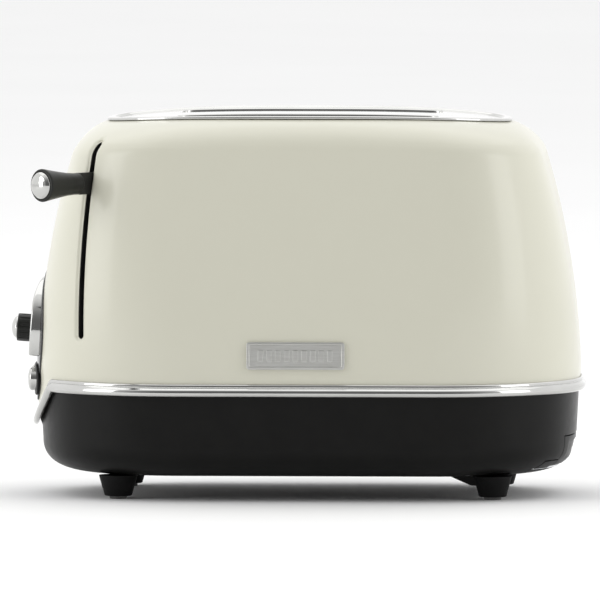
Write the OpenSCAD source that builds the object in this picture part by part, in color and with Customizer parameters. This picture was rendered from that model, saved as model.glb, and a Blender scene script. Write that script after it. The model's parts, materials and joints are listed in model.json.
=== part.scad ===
// Two-slot pop-up toaster with a tapered painted shell, a chrome waist trim,
// a dark plastic base and its lever, dial and buttons on one rounded end.
// Built as separate pieces: millimetres, +Z up. The control end faces -X and the
// crumb tray leaves towards +X. The frame's origin is on the surface the toaster
// stands on, under the middle of its overall length.

/* [Shell] */
// Half length of the painted shell at its bottom edge
shell_half_len = 144; // [142:0.5:147]
// Half width of the painted shell at its bottom edge
shell_half_wid = 86; // [85:0.5:90]
// How much the shell's half length shrinks from the waist to the shoulder
taper_len = 18.9; // [18:0.1:20]
// How much the shell's half width shrinks from the waist to the shoulder
taper_wid = 7; // [4:0.5:8]
// Plan corner radius of the shell at its bottom edge
corner_low = 78; // [74:1:79]
// Plan corner radius of the shell at its shoulder
corner_high = 53; // [51:1:56]
// Sheet thickness of the shell
shell_wall = 1.2; // [0.8:0.1:1.6]
// Drop of the crowned top from its middle to its ends
crown = 3.3; // [1:0.1:4]

/* [Waist trim and base] */
// Height of the chrome trim band above the underside datum
trim_z = 57; // [55:0.5:59]
// How far the band dips below the controls
trim_dip = 19.5; // [14:0.5:20]
// Wall of the plastic base
base_wall = 2.5; // [2:0.1:3]
// Distance of each foot from the middle, along the length
foot_x = 99.3; // [95:0.5:100]
// Distance of each foot from the middle, along the width
foot_y = 50; // [46:0.5:52]

/* [Bread slots and carriage] */
// Length of each bread slot
slot_len = 138; // [130:1:140]
// Width of each bread slot
slot_wid = 31; // [28:1:31]
// Distance of each slot's middle from the centre line
slot_y = 28; // [27.5:0.5:28.5]
// Height of the lever's axis at rest
lever_z = 165.4; // [162:0.2:166]
// Radius of the carriage's guide rod
rod_r = 2.5; // [2:0.1:3]
// Radial clearance of the carriage bushes on the rod
rod_fit = 0.06; // [0.02:0.01:0.1]

/* [Controls] */
// Radius of the browning knob
knob_r = 7.35; // [6:0.05:8]
// Radius of each push button
button_r = 6.2; // [5:0.1:6.2]
// Spacing of the three push buttons
button_pitch = 17; // [16:0.5:18]
// Radius of the knob's shaft
shaft_r = 3; // [2.5:0.1:3.2]

/* [Hidden] */

cream = [0.87, 0.86, 0.79];
chrome = [0.80, 0.81, 0.82];
black = [0.09, 0.09, 0.09];
steel = [0.66, 0.67, 0.69];
mica = [0.78, 0.70, 0.55];

// Body axes sit body_x behind the frame's origin; the datum is drop above the floor.
body_x = 6;
drop = 2.5;
module placed() translate([body_x, 0, drop]) children();

// ---- shared shape rules ----
function lerp(a, b, t) = a + (b - a) * t;
function clamp01(t) = max(0, min(1, t));
function smooth(t) = let (u = clamp01(t)) u * u * (3 - 2 * u);
shoulder_z = 180;
function taper(z) = pow(clamp01((z - 60) / (shoulder_z - 60)), 1.8);
function shell_a(z) = shell_half_len - taper_len * taper(z);
function shell_b(z) = shell_half_wid - taper_wid * taper(z);
function shell_r(z) = lerp(corner_low, corner_high, clamp01((z - 60) / (shoulder_z - 60)));
// Height of the waist band's middle line, which dips in a level slant below the controls
function band_z(x, y) = let (d = min(70, max(0, abs(y) - shell_half_wid + corner_low)))
  trim_z - (x < 0 ? trim_dip * clamp01(1 - (corner_low - sqrt(corner_low * corner_low - d * d)) / 9.6) : 0);
// Rise of the crowned top
function crown_z(x) = -crown * pow(abs(x) / 107, 3);
function rise(x, z) = (3.6 + crown_z(x)) * smooth((z - 150) / 40);

// Plan ring: rounded rectangle, finer arcs at the control end
na = 10; nc = 20; ns = 8; ne = 2;
npt = 2 * (na + 1) + 2 * (nc + 1) + 2 * (ns - 1) + 2 * (ne - 1);
function arc_pts(cx, cy, r, a0, a1, n) =
  [for (i = [0:n]) let (t = lerp(a0, a1, i / n)) [cx + r * cos(t), cy + r * sin(t)]];
function ring2(a, b, r) = concat(
  arc_pts(a - r, b - r, r, 0, 90, na),
  [for (i = [1:ns - 1]) [lerp(a - r, r - a, i / ns), b]],
  arc_pts(r - a, b - r, r, 90, 180, nc),
  [for (i = [1:ne - 1]) [-a, lerp(b - r, r - b, i / ne)]],
  arc_pts(r - a, r - b, r, 180, 270, nc),
  [for (i = [1:ns - 1]) [lerp(r - a, a - r, i / ns), -b]],
  arc_pts(a - r, r - b, r, 270, 360, na),
  [for (i = [1:ne - 1]) [a, lerp(r - b, b - r, i / ne)]]);

// Outward directions at the same points
function ring_dir() = concat(arc_pts(0, 0, 1, 0, 90, na), [for (i = [1:ns - 1]) [0, 1]],
  arc_pts(0, 0, 1, 90, 180, nc), [for (i = [1:ne - 1]) [-1, 0]],
  arc_pts(0, 0, 1, 180, 270, nc), [for (i = [1:ns - 1]) [0, -1]],
  arc_pts(0, 0, 1, 270, 360, na), [for (i = [1:ne - 1]) [1, 0]]);

function flat_list(l) = [for (a = l) for (b = a) b];
function wall_faces(i, k, n) = flat_list([for (j = [0:n - 1]) let (m = (j + 1) % n)
  [[i * n + j, k * n + j, k * n + m], [i * n + j, k * n + m, i * n + m]]]);
// Closed skin through rings that return to the first one
module loop_skin(rings) {
  n = len(rings[0]); c = len(rings);
  polyhedron(points = flat_list(rings),
    faces = flat_list([for (i = [0:c - 1]) wall_faces(i, (i + 1) % c, n)]));
}
// Closed skin with a flat face, fanned from its middle, on its first and last ring
function middle(r) = [for (k = [0:2]) (r[0][k] + r[floor(len(r) / 2)][k]) / 2];
module cap_skin(rings) {
  n = len(rings[0]); c = len(rings); e = n * c;
  polyhedron(points = concat(flat_list(rings), [middle(rings[0]), middle(rings[c - 1])]),
    faces = concat([for (j = [0:n - 1]) [j, (j + 1) % n, e]],
      flat_list([for (i = [0:c - 2]) wall_faces(i, i + 1, n)]),
      [for (j = [0:n - 1]) [(c - 1) * n + (j + 1) % n, (c - 1) * n + j, e + 1]]));
}

// ---- shell ----
// Shoulder: carries on the side's slope and rounds over to the oval opening of the top
sh_z = 16; open_u = 0.98936;
open_a = 105.5; open_b = 57.5; oval_n = 2.3;
function round_over(u) = 1 - sqrt(1 - u * u);
// Ring that only carries on the side's slope, at u of the shoulder's height
function slope_ring(u) = let (d = sh_z * u) ring2(shell_a(shoulder_z) - taper_len * 0.015 * d,
  shell_b(shoulder_z) - taper_wid * 0.015 * d, shell_r(shoulder_z) - (corner_low - corner_high) / 120 * d);
// Point of an oval with half axes a and b, in the direction of q
function oval_pt(a, b, q) = let (k = pow(pow(abs(q[0]) / a, oval_n) + pow(abs(q[1]) / b, oval_n), -1 / oval_n)) k * q;
far_ring = slope_ring(open_u);
oval_ring = [for (p = far_ring) oval_pt(open_a, open_b, [p[0] * open_a / 120, p[1] * open_b / 77])];
dirs = ring_dir();
function shoulder_ring(u, w) = let (s = slope_ring(u), g = round_over(u), z = shoulder_z + (sh_z - w) * u)
  [for (i = [0:npt - 1]) let (p = s[i] + (oval_ring[i] - far_ring[i]) * g / round_over(open_u) - w * (1 - g) * dirs[i])
    [p[0], p[1], z + rise(p[0], z)]];
function side_ring(z, w) =
  [for (p = ring2(shell_a(z) - w, shell_b(z) - w, shell_r(z) - w)) [p[0], p[1], z + rise(p[0], z)]];
function edge_ring(w) =
  [for (p = ring2(shell_half_len - w, shell_half_wid - w, corner_low - w)) [p[0], p[1], band_z(p[0], p[1]) + 0.6]];
side_zs = [64, 78, 92, 106, 120, 134, 148, 161, 172, 180];
top_us = [0.26, 0.5, 0.7, 0.85, 0.94, 0.98936];
module shell_solid() loop_skin(concat(
  [edge_ring(0)], [for (z = side_zs) side_ring(z, 0)], [for (u = top_us) shoulder_ring(u, 0)],
  [for (i = [len(top_us) - 1:-1:0]) shoulder_ring(top_us[i], shell_wall)],
  [for (i = [len(side_zs) - 1:-1:0]) side_ring(side_zs[i], shell_wall)], [edge_ring(shell_wall)]));

// The lever leaves the shell at lever_p, along lever_dir
lever_p = [-111.4, -59.1];
module lever_frame(z) translate([lever_p[0], lever_p[1], z]) rotate([0, 0, 225]) children();
slot_lo = 83; slot_hi = 186;

module outer_shell() color(cream) placed() difference() {
  shell_solid();
  lever_frame((slot_lo + slot_hi) / 2) cube([60, 4.2, slot_hi - slot_lo], center = true);
  translate([-152, -22, 50.8]) cube([24, 44, 56.2]);
  for (i = [-1, 1]) button_frame(i * button_pitch) cylinder(r = 7, h = 30, center = true, $fn = 48);
}

// ---- top plate ----
module rrect(a, b, r) {
  square([2 * (a - r), 2 * b], center = true);
  square([2 * a, 2 * (b - r)], center = true);
  for (sx = [-1, 1], sy = [-1, 1]) translate([sx * (a - r), sy * (b - r)]) circle(r, $fn = r > 20 ? 180 : 64);
}
// Slab that follows the crowned top between two heights
module crown_slab(z0, z1) rotate([90, 0, 0]) linear_extrude(height = 150, center = true)
  polygon(concat([for (i = [-14:14]) [i * 8, z0 + crown_z(i * 8)]],
    [for (i = [14:-1:-14]) [i * 8, z1 + crown_z(i * 8)]]));
plate_a = 107.7; plate_b = 59.9;
module oval(k) polygon([for (i = [0:119]) let (c = cos(i * 3), d = sin(i * 3))
  oval_pt(plate_a - k, plate_b - k, [c * (plate_a - k), d * (plate_b - k)])]);
module top_plate() color(chrome) placed() {
  difference() {
    union() {
      intersection() {
        crown_slab(199.55, 201.05);
        translate([0, 0, 190]) linear_extrude(height = 14) difference() { oval(0); oval(5); }
      }
      intersection() {
        crown_slab(198.9, 200.05);
        translate([0, 0, 190]) linear_extrude(height = 14) oval(3.6);
      }
      for (s = [-1, 1]) intersection() {
        crown_slab(192.3, 200.05);
        translate([0, s * slot_y, 185]) linear_extrude(height = 18) difference() {
          rrect(slot_len / 2 + 1, slot_wid / 2 + 1, 7);
          rrect(slot_len / 2, slot_wid / 2, 6);
        }
      }
    }
    for (s = [-1, 1]) translate([0, s * slot_y, 180]) linear_extrude(height = 30)
      rrect(slot_len / 2, slot_wid / 2, 6);
  }
}

// ---- waist trim ----
trim_prof = [[-3, -0.45], [0.2, -0.45], [0.2, -3.3], [1.3, -3.5], [2.4, -2.7], [2.9, -1.3],
  [2.6, 0.2], [1.7, 1], [1.3, 1.4], [1.7, 2], [1.6, 2.9], [0.9, 3.5], [0.2, 3.4], [0.2, 0.45], [-3, 0.45]];
module trim_band() color(chrome) placed() loop_skin([for (q = trim_prof)
  [for (p = ring2(shell_half_len + q[0], shell_half_wid + q[0], corner_low + q[0]))
    [p[0], p[1], band_z(p[0], p[1]) + q[1]]]]);

// ---- base ----
len_wid = shell_half_len - shell_half_wid;
function base_ring(a, z) = [for (p = ring2(a, a - len_wid, a - 66)) [p[0], p[1], z]];
function base_a(z) = z > 28 ? lerp(shell_half_len - 2.5, shell_half_len - 1, clamp01((z - 28) / 28))
  : (shell_half_len - 32.5) + 30 * pow(1 - pow((28 - z) / 18, 2.5), 0.4);
function base_in(z) = z > 28 ? base_a(z) - base_wall
  : (shell_half_len - 32.5) + (30 - base_wall) * pow(1 - pow((28 - z) / (18 - base_wall), 2.5), 0.4);
function rim_ring(a) = [for (p = ring2(a, a - len_wid, a - 66)) [p[0], p[1], band_z(p[0], p[1]) - 0.6]];
out_zs = [10, 10.15, 10.6, 11.5, 13, 15.5, 19, 23, 28, 34];
in_zs = [34, 28, 24, 20, 16.6, 14.5, 13.2, 10 + base_wall];
module base_solid() cap_skin(concat([for (z = out_zs) base_ring(base_a(z), z)],
  [rim_ring(shell_half_len - 1), rim_ring(shell_half_len - 1 - base_wall)],
  [for (z = in_zs) base_ring(base_in(z), z)]));
gland_p = [134.2, 38, 42]; gland_az = 21.8;
module gland_frame() translate(gland_p) rotate([0, 0, gland_az]) rotate([0, 90, 0]) children();
boss_xy = [for (sx = [-1, 1], sy = [-1, 1]) [sx * 86, sy * 61.5]];
module base() color(black) placed() difference() {
  union() {
    base_solid();
    for (sx = [-1, 1], sy = [-1, 1]) translate([sx * foot_x, sy * foot_y, 9.8]) cylinder(r = 11, h = 3.1, $fn = 48);
    for (p = boss_xy) translate([p[0], p[1], 12.4]) cylinder(r = 4, h = 7.5, $fn = 32);
  }
  // tray slit and the opening of its handle
  translate([98, -47, 12.7]) cube([62, 94, 5.4]);
  translate([115, -34.5, 12.7]) cube([60, 69, 17.9]);
  gland_frame() cylinder(r = 7.1, h = 40, center = true, $fn = 48);
  for (p = boss_xy) translate([p[0], p[1], 9]) cylinder(r = 1.5, h = 12, $fn = 24);
}

module feet() color(black) placed() for (sx = [-1, 1], sy = [-1, 1])
  translate([sx * foot_x, sy * foot_y, -1]) cylinder(r1 = 7.2, r2 = 10.25, h = 10.7, $fn = 64);
module foot_pads() color([0.45, 0.45, 0.44]) placed() for (sx = [-1, 1], sy = [-1, 1])
  translate([sx * foot_x, sy * foot_y, -drop]) cylinder(r = 4.6, h = drop - 1.05, $fn = 48);

// ---- badge on the near face, with a plain fluted field ----
badge_z = 75.6;
module name_badge() color(steel) placed() translate([-3.5, -shell_b(badge_z) - 0.15, badge_z]) rotate([88.9, 0, 0]) {
  linear_extrude(height = 1.4) difference() { rrect(26, 7.3, 1.6); rrect(24.2, 5.5, 0.8); }
  linear_extrude(height = 0.9) rrect(24.3, 5.6, 0.8);
  for (i = [-4:4]) translate([i * 4.6, 0, 0.8]) linear_extrude(height = 0.5) rrect(1.5, 3.2, 0.7);
}

// ---- control end ----
knob_z = 84.5;
// Local z points out of the dial's face, local x points up it
module dial_frame() translate([-143, 0, knob_z]) rotate([0, -86, 0]) children();
module button_frame(y) translate([-144, y, 58.8]) rotate([0, -90, 0]) children();
function end_x(y, z, o) = let (a = shell_a(z) + o, b = shell_b(z) + o, r = shell_r(z) + o, d = max(0, abs(y) - (b - r)))
  -((a - r) + sqrt(r * r - d * d));
// Block from inside the shell out to its surface plus o, at the control end
module end_zone(o) {
  ny = 20; nz = 12;
  ys = [for (i = [0:ny]) lerp(-38, 38, i / ny)];
  zs = [for (k = [0:nz]) lerp(44, 120, k / nz)];
  polyhedron(points = concat([for (z = zs) for (y = ys) [end_x(y, z, o), y, z]], [for (z = zs) for (y = ys) [-118, y, z]]),
    faces = let (w = ny + 1, m = (ny + 1) * (nz + 1)) concat(
      [for (k = [0:nz - 1]) for (i = [0:ny - 1]) each [[k * w + i, k * w + i + 1, (k + 1) * w + i + 1], [k * w + i, (k + 1) * w + i + 1, (k + 1) * w + i]]],
      [for (k = [0:nz - 1]) for (i = [0:ny - 1]) each [[m + k * w + i, m + (k + 1) * w + i + 1, m + k * w + i + 1], [m + k * w + i, m + (k + 1) * w + i, m + (k + 1) * w + i + 1]]],
      [for (i = [0:ny - 1]) each [[i, m + i, m + i + 1], [i, m + i + 1, i + 1]]],
      [for (i = [0:ny - 1]) let (t = nz * w) each [[t + i, t + m + i + 1, t + m + i], [t + i, t + i + 1, t + m + i + 1]]],
      [for (k = [0:nz - 1]) each [[k * w, (k + 1) * w + m, k * w + m], [k * w, (k + 1) * w, (k + 1) * w + m]]],
      [for (k = [0:nz - 1]) let (e = ny) each [[k * w + e, k * w + m + e, (k + 1) * w + m + e], [k * w + e, (k + 1) * w + m + e, (k + 1) * w + e]]]));
}
module panel_outline() hull() {
  translate([-1, 0]) circle(33, $fn = 64);
  for (s = [-1, 1]) translate([-31, s * 17]) circle(6, $fn = 32);
}
dial_a = 28; dial_low = 13.2;
// Round face cut off straight below the knob
module dial_outline(k) intersection() {
  circle(dial_a - k, $fn = 96);
  translate([-dial_low + k, -40]) square([60, 80]);
}
// Front of the dial housing: flat, then falling away in an arc towards its top
module dial_front(k) {
  translate([-40, -40, -12]) cube([53.5, 80, 16.6 - k]);
  translate([13.5, 0, 4.6 - 32.2]) rotate([90, 0, 0]) cylinder(r = 32.2 - k, h = 80, center = true, $fn = 180);
}
module control_panel() color(black) placed() difference() {
  intersection() {
    end_zone(0.9);
    dial_frame() translate([0, 0, -12]) linear_extrude(height = 24) panel_outline();
  }
  end_zone(0.1);
  dial_frame() translate([0, 0, -14]) linear_extrude(height = 28) dial_outline(-0.12);
  for (i = [-1:1]) button_frame(i * button_pitch) cylinder(r = 6.5, h = 30, center = true, $fn = 48);
}
module button_surround() color(black) placed() difference() {
  intersection() {
    end_zone(2);
    button_frame(0) translate([0, 0, -8]) linear_extrude(height = 16) rrect(8.4, 28, 8.3);
  }
  end_zone(0.95);
  for (i = [-1:1]) button_frame(i * button_pitch) cylinder(r = 6.5, h = 30, center = true, $fn = 48);
}
module dial_bezel() color(chrome) placed() difference() {
  dial_frame() intersection() {
    translate([0, 0, -7]) linear_extrude(height = 14) dial_outline(0);
    dial_front(0);
  }
  end_zone(0.13);
  dial_frame() difference() {
    translate([0, 0, -7]) linear_extrude(height = 16) dial_outline(3);
    dial_front(1);
  }
  dial_frame() cylinder(r = shaft_r + 0.5, h = 40, center = true, $fn = 48);
}
module dial_scale() color([0.93, 0.93, 0.9]) placed() dial_frame() difference() {
  intersection() {
    translate([0, 0, -4]) linear_extrude(height = 12) dial_outline(3.1);
    dial_front(0.35);
  }
  dial_front(0.95);
  cylinder(r = shaft_r + 0.6, h = 40, center = true, $fn = 48);
}

// ---- chassis ----
bulk_x = 80; guard_z = 60;
guard_ys = [-46, -10, 10, 46];
module bulk_plate(x) difference() {
  union() {
    translate([x, -62, 20]) cube([0.8, 124, 100]);
    translate([x, -56, 110]) cube([0.8, 112, 76]);
    translate([x, -18, 180]) cube([0.8, 36, 16.2]);
  }
  for (s = [-1, 1]) translate([x - 1, s * slot_y - 2.6, 45]) cube([3, 5.2, 112]);
  for (y = guard_ys) translate([x - 1, y, guard_z]) rotate([0, 90, 0]) cylinder(r = 0.98, h = 3, $fn = 24);
}
rod_p = [-96, 0];
module front_bulkhead() color(steel) placed() difference() {
  union() {
    bulk_plate(-bulk_x - 0.8);
    translate([-108, -40, 20]) cube([27.5, 80, 1]);
    for (s = [-1, 1]) translate([-92, s * 61.5 - 4.5, 20]) cube([11.5, 9, 1]);
    translate([-103, -12, 187.4]) cube([22.5, 24, 1.2]);
  }
  translate([rod_p[0], rod_p[1], 15]) cylinder(r = rod_r + 0.04, h = 180, $fn = 48);
  for (s = [-1, 1]) translate([-86, s * 61.5, 18]) cylinder(r = 1.6, h = 5, $fn = 24);
}
module rear_bulkhead() color(steel) placed() difference() {
  union() {
    bulk_plate(bulk_x);
    for (s = [-1, 1]) translate([80.5, s * 61.5 - 4.5, 20]) cube([11.5, 9, 1]);
  }
  for (s = [-1, 1]) translate([86, s * 61.5, 18]) cylinder(r = 1.6, h = 5, $fn = 24);
}
module reflector(s) difference() {
  translate([-79.8, s * 55 - 0.25, 30]) cube([159.6, 0.5, 152]);
  for (i = [-3:3]) translate([i * 20 - 6, s * 55 - 1, 40]) cube([12, 2, 6]);
}
module side_reflector_near() color(steel) placed() reflector(-1);
module side_reflector_far() color(steel) placed() reflector(1);
module chassis_rails() color(steel) placed() for (s = [-1, 1]) difference() {
  translate([-79.8, s * 62 - 5, 20.2]) cube([159.6, 10, 9]);
  translate([-81, s * 62 - 4, 21.2]) cube([162, 8, 20]);
}
module heater_board(y) color(mica) placed() difference() {
  translate([-79.7, y - 0.4, 64]) cube([159.4, 0.8, 118]);
  for (i = [0:8]) for (s = [-1, 1]) translate([s * 79.7 - 1.5, y - 1, 72 + i * 12.5]) cube([3, 2, 2.4]);
}
// Wound ribbon: nine level runs in front of the board, a run of the same width behind
module heater_ribbon(y, s) color([0.55, 0.5, 0.46]) placed() for (i = [0:8])
  translate([-76, y + s * 0.75 - 0.15, 72.4 + i * 12.5]) cube([152, 0.3, 1.6]);
board_ys = [-50.5, -5.5, 5.5, 50.5];
module heater_board_near_outer() heater_board(board_ys[0]);
module heater_board_near_inner() heater_board(board_ys[1]);
module heater_board_far_inner() heater_board(board_ys[2]);
module heater_board_far_outer() heater_board(board_ys[3]);
module heater_ribbon_near_outer() heater_ribbon(board_ys[0], 1);
module heater_ribbon_near_inner() heater_ribbon(board_ys[1], -1);
module heater_ribbon_far_inner() heater_ribbon(board_ys[2], 1);
module heater_ribbon_far_outer() heater_ribbon(board_ys[3], -1);

module guide_rod() color(steel) placed() translate([rod_p[0], rod_p[1], 19.5]) cylinder(r = rod_r, h = 171, $fn = 64);
// Lift spring: helix round the rod, from the chassis floor to the carriage
spring_lo = 21.2; spring_hi = 124.8; spring_turns = 12; spring_r = 4.4; wire_r = 0.5;
module lift_spring() color(steel) placed() translate([rod_p[0], rod_p[1], 0]) {
  n = spring_turns * 16; m = 6;
  rings = [for (i = [0:n]) let (t = i / n, a = i * 360 / 16,
    z = lerp(spring_lo + wire_r, spring_hi - wire_r, t))
    [for (j = [0:m - 1]) let (q = -j * 360 / m, rr = spring_r + wire_r * cos(q))
      [rr * cos(a), rr * sin(a), z + wire_r * sin(q)]]];
  cap_skin(rings);
}
mag = [-96.5, 24];
module electromagnet_core() color(steel) placed() translate([mag[0], mag[1], 0]) {
  translate([-6, -10, 21.1]) cube([12, 20, 4]);
  for (s = [-1, 1]) translate([-6, s * 8.5 - 1.5, 25]) cube([12, 3, 18.6]);
  translate([0, 0, 25]) cylinder(r = 2.6, h = 18.6, $fn = 48);
}
module electromagnet_coil() color([0.62, 0.33, 0.16]) placed() translate([mag[0], mag[1], 25.3]) difference() {
  cylinder(r = 6, h = 15.5, $fn = 64);
  translate([0, 0, -1]) cylinder(r = 2.8, h = 20, $fn = 48);
}
pcb_x = -127.6;
module control_board() color([0.16, 0.36, 0.22]) placed() difference() {
  translate([pcb_x, -30, 50]) cube([1.6, 60, 58]);
  dial_frame() cylinder(r = 9.6, h = 60, center = true, $fn = 48);
}
module board_components() color([0.2, 0.2, 0.22]) placed() {
  for (i = [-1:1]) translate([pcb_x - 3.5, i * button_pitch - 3, 55.8]) cube([3.48, 6, 6]);
  for (i = [-1:1]) translate([pcb_x - 4.3, i * button_pitch, 58.8]) rotate([0, 90, 0]) cylinder(r = 1.6, h = 0.82, $fn = 32);
  translate([pcb_x + 1.62, -27, 54]) cube([12, 16, 14]);
  translate([pcb_x + 1.62, 14, 56]) cube([10, 12, 10]);
  translate([pcb_x + 1.62, -20, 98]) rotate([0, 90, 0]) cylinder(r = 5, h = 12, $fn = 32);
  translate([pcb_x + 1.62, 12, 96]) cube([4, 14, 7]);
}
module potentiometer() color([0.35, 0.35, 0.37]) placed() dial_frame() difference() {
  union() {
    translate([0, 0, -20]) cylinder(r = 8.5, h = 7, $fn = 64);
    translate([0, 0, -13.2]) cylinder(r = 4.6, h = 5, $fn = 48);
  }
  translate([0, 0, -18.5]) cylinder(r = shaft_r + 0.06, h = 12, $fn = 64);
}
module terminal_block() color([0.9, 0.88, 0.8]) placed() difference() {
  translate([96, 20, 22]) cube([16, 26, 12]);
  for (y = [26, 33, 40]) translate([104, y, 28]) cylinder(r = 2, h = 8, $fn = 24);
}
module cord_gland() color(black) placed() gland_frame() difference() {
  union() {
    translate([0, 0, -10]) cylinder(r = 7, h = 15.5, $fn = 64);
    translate([0, 0, 4.6]) cylinder(r = 9.2, h = 3, $fn = 64);
    translate([0, 0, -11]) cylinder(r = 9, h = 3, $fn = 64);
  }
  translate([0, 0, -12]) cylinder(r = 3.6, h = 22, $fn = 64);
}
// Round tube through hand-set points
function tube_ring(p, d, r, m) = let (f = d / norm(d), u = abs(f[2]) < 0.9 ? [f[1], -f[0], 0] : [0, f[2], -f[1]],
  a = u / norm(u), b = cross(f, a)) [for (j = [0:m - 1]) p + r * (cos(j * 360 / m) * a + sin(j * 360 / m) * b)];
module tube(pts, r) { n = len(pts);
  cap_skin([for (i = [0:n - 1]) tube_ring(pts[i], pts[min(n - 1, i + 1)] - pts[max(0, i - 1)], r, 8)]); }
// Two insulated leads along the far side of the chassis, terminal block to control board
lead_a = [[95, 26, 30], [92, 42, 31], [89, 60, 32], [78, 69, 32], [56, 70.5, 32], [0, 70.5, 32], [-56, 70.5, 32], [-78, 69, 32],
  [-91, 60, 36], [-104, 47, 41], [-114, 37, 45], [-121, 30.5, 47]];
module internal_leads() color([0.75, 0.75, 0.72]) placed() {
  tube(lead_a, 1.3);
  tube([for (p = lead_a) [p[0], p[1], p[2] + 4]], 1.3);
}
module cleat(s) translate([0, s * 36, 0]) rotate([90, 0, 0]) linear_extrude(height = 9, center = true)
  polygon([[75.5, 9.95], [76.2, 9.2], [86.5, 4.6], [88, 4.2], [91.4, 4.2], [92, 4.8], [92, 9.95]]);
module cord_cleats() color(black) placed() { cleat(-1); cleat(1); }
module base_screws() color(steel) placed() for (p = boss_xy) translate([p[0], p[1], 0]) {
  translate([0, 0, 9.3]) cylinder(r = 2.6, h = 0.65, $fn = 32);
  translate([0, 0, 9.9]) cylinder(r = 1.35, h = 9, $fn = 32);
}
module chassis_screws() color(steel) placed() for (p = boss_xy) translate([p[0], p[1], 0]) {
  translate([0, 0, 21.05]) cylinder(r = 2.9, h = 1.8, $fn = 32);
  translate([0, 0, 19.4]) cylinder(r = 1.3, h = 2, $fn = 32);
}

// ---- carriage ----
br_x = -89.3; br_lo = 126; br_hi = 172;
module carriage_bracket() color(steel) placed() difference() {
  union() {
    translate([br_x, -40, br_lo]) cube([1.2, 80, 18]);
    translate([br_x, -40, br_lo]) cube([1.2, 62, br_hi - br_lo]);
    translate([br_x, 14, 119]) cube([1.2, 20, 10]);
    for (z = [br_lo, br_hi - 1.2]) translate([-103, -9, z]) cube([14, 18, 1.2]);
  }
  translate([rod_p[0], rod_p[1], 100]) cylinder(r = 4.2, h = 90, $fn = 48);
}
module carriage_bushes() color([0.92, 0.92, 0.9]) placed() for (z = [br_lo, br_hi - 1.2])
  translate([rod_p[0], rod_p[1], z]) difference() {
    union() {
      translate([0, 0, -1.1]) cylinder(r = 4.1, h = 3.4, $fn = 64);
      translate([0, 0, 1.25]) cylinder(r = 5.6, h = 1.2, $fn = 64);
    }
    translate([0, 0, -3]) cylinder(r = rod_r + rod_fit, h = 10, $fn = 64);
  }
rack_z = 127;
module rack(s) {
  translate([br_x + 1.25, s * slot_y - 1, rack_z]) cube([174, 2, 6]);
  for (i = [-4:4]) translate([i * 15.5, s * slot_y, rack_z + 6]) rotate([90, 0, 0]) cylinder(r = 1, h = 23, center = true, $fn = 24);
}
module bread_rack_near() color(steel) placed() rack(-1);
module bread_rack_far() color(steel) placed() rack(1);
module lever_arm() color(black) placed() {
  difference() {
    lever_frame(lever_z) translate([-38, -1.5, -5.75]) cube([49.7, 3, 11.5]);
    translate([br_x - 0.05, -80, 100]) cube([40, 100, 100]);
  }
  lever_frame(lever_z) translate([11, -1.5, -4]) cube([14, 3, 8]);
  translate([br_x - 1.55, -46, lever_z - 5.75]) cube([1.5, 15, 11.5]);
}
// Handle flares from the arm to its round end
module lever_handle() color(black) placed() lever_frame(lever_z) difference() {
  rotate([0, 90, 0]) rotate_extrude($fn = 64) polygon([[0, 11.8], [5.4, 11.8], [5.75, 12.2], [5.75, 15], [6.1, 20],
    [6.8, 25], [7.6, 30], [8.3, 34], [8.7, 36.2], [8.75, 36.9], [8.55, 37.4], [8.2, 37.6], [0, 37.6]]);
  translate([10, -1.6, -4.1]) cube([15.2, 3.2, 8.2]);
}
module lever_cap() color(chrome) placed() lever_frame(lever_z) rotate([0, 90, 0]) rotate_extrude($fn = 64)
  polygon([[0, 37.65], [7.13, 37.65], [7.13, 38], [6.7, 38.8], [5.6, 39.6], [4, 40.3], [2, 40.7], [0, 40.8]]);
module armature_plate() color(steel) placed() translate([mag[0] - 6.5, mag[1] - 10, 119]) cube([13.6, 20, 3]);

// ---- knob and buttons ----
module browning_knob() color(black) placed() dial_frame() difference() {
  rotate_extrude($fn = 96) polygon([[0, 4.95], [knob_r - 0.2, 4.95], [knob_r, 5.2], [knob_r, 11.4], [knob_r - 0.3, 12.2], [knob_r - 1, 12.7], [knob_r - 1.2, 12.75], [0, 12.75]]);
  cylinder(r = shaft_r + 0.05, h = 11.5, $fn = 48);
  for (i = [0:11]) rotate([0, 0, i * 30 + 15]) translate([knob_r + 0.6, 0, 4]) cylinder(r = 1, h = 7, $fn = 24);
}
module knob_cap() color(chrome) placed() dial_frame() rotate_extrude($fn = 64)
  polygon([[0, 12.8], [5.95, 12.8], [5.9, 13.3], [5.3, 14.3], [4.2, 15.1], [2.4, 15.7], [0, 15.9]]);
module knob_shaft() color(steel) placed() dial_frame() translate([0, 0, -18.3]) cylinder(r = shaft_r, h = 29.6, $fn = 64);
module push_button(i) color(chrome) placed() button_frame(i * button_pitch) {
  rotate_extrude($fn = 64) polygon([[0, -3.6], [button_r, -3.6], [button_r, 3.1], [5.9, 3.8], [4.8, 4.5], [2.6, 5.05], [0, 5.2]]);
  intersection() {
    translate([0, 0, -3.6]) cylinder(r = 7.3, h = 1, $fn = 64);
    cube([20, 8.8, 20], center = true);
  }
  translate([0, 0, -9.9]) cylinder(r = 2, h = 6.5, $fn = 32);
}
module cancel_button() push_button(-1);
module reheat_button() push_button(0);
module defrost_button() push_button(1);

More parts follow.
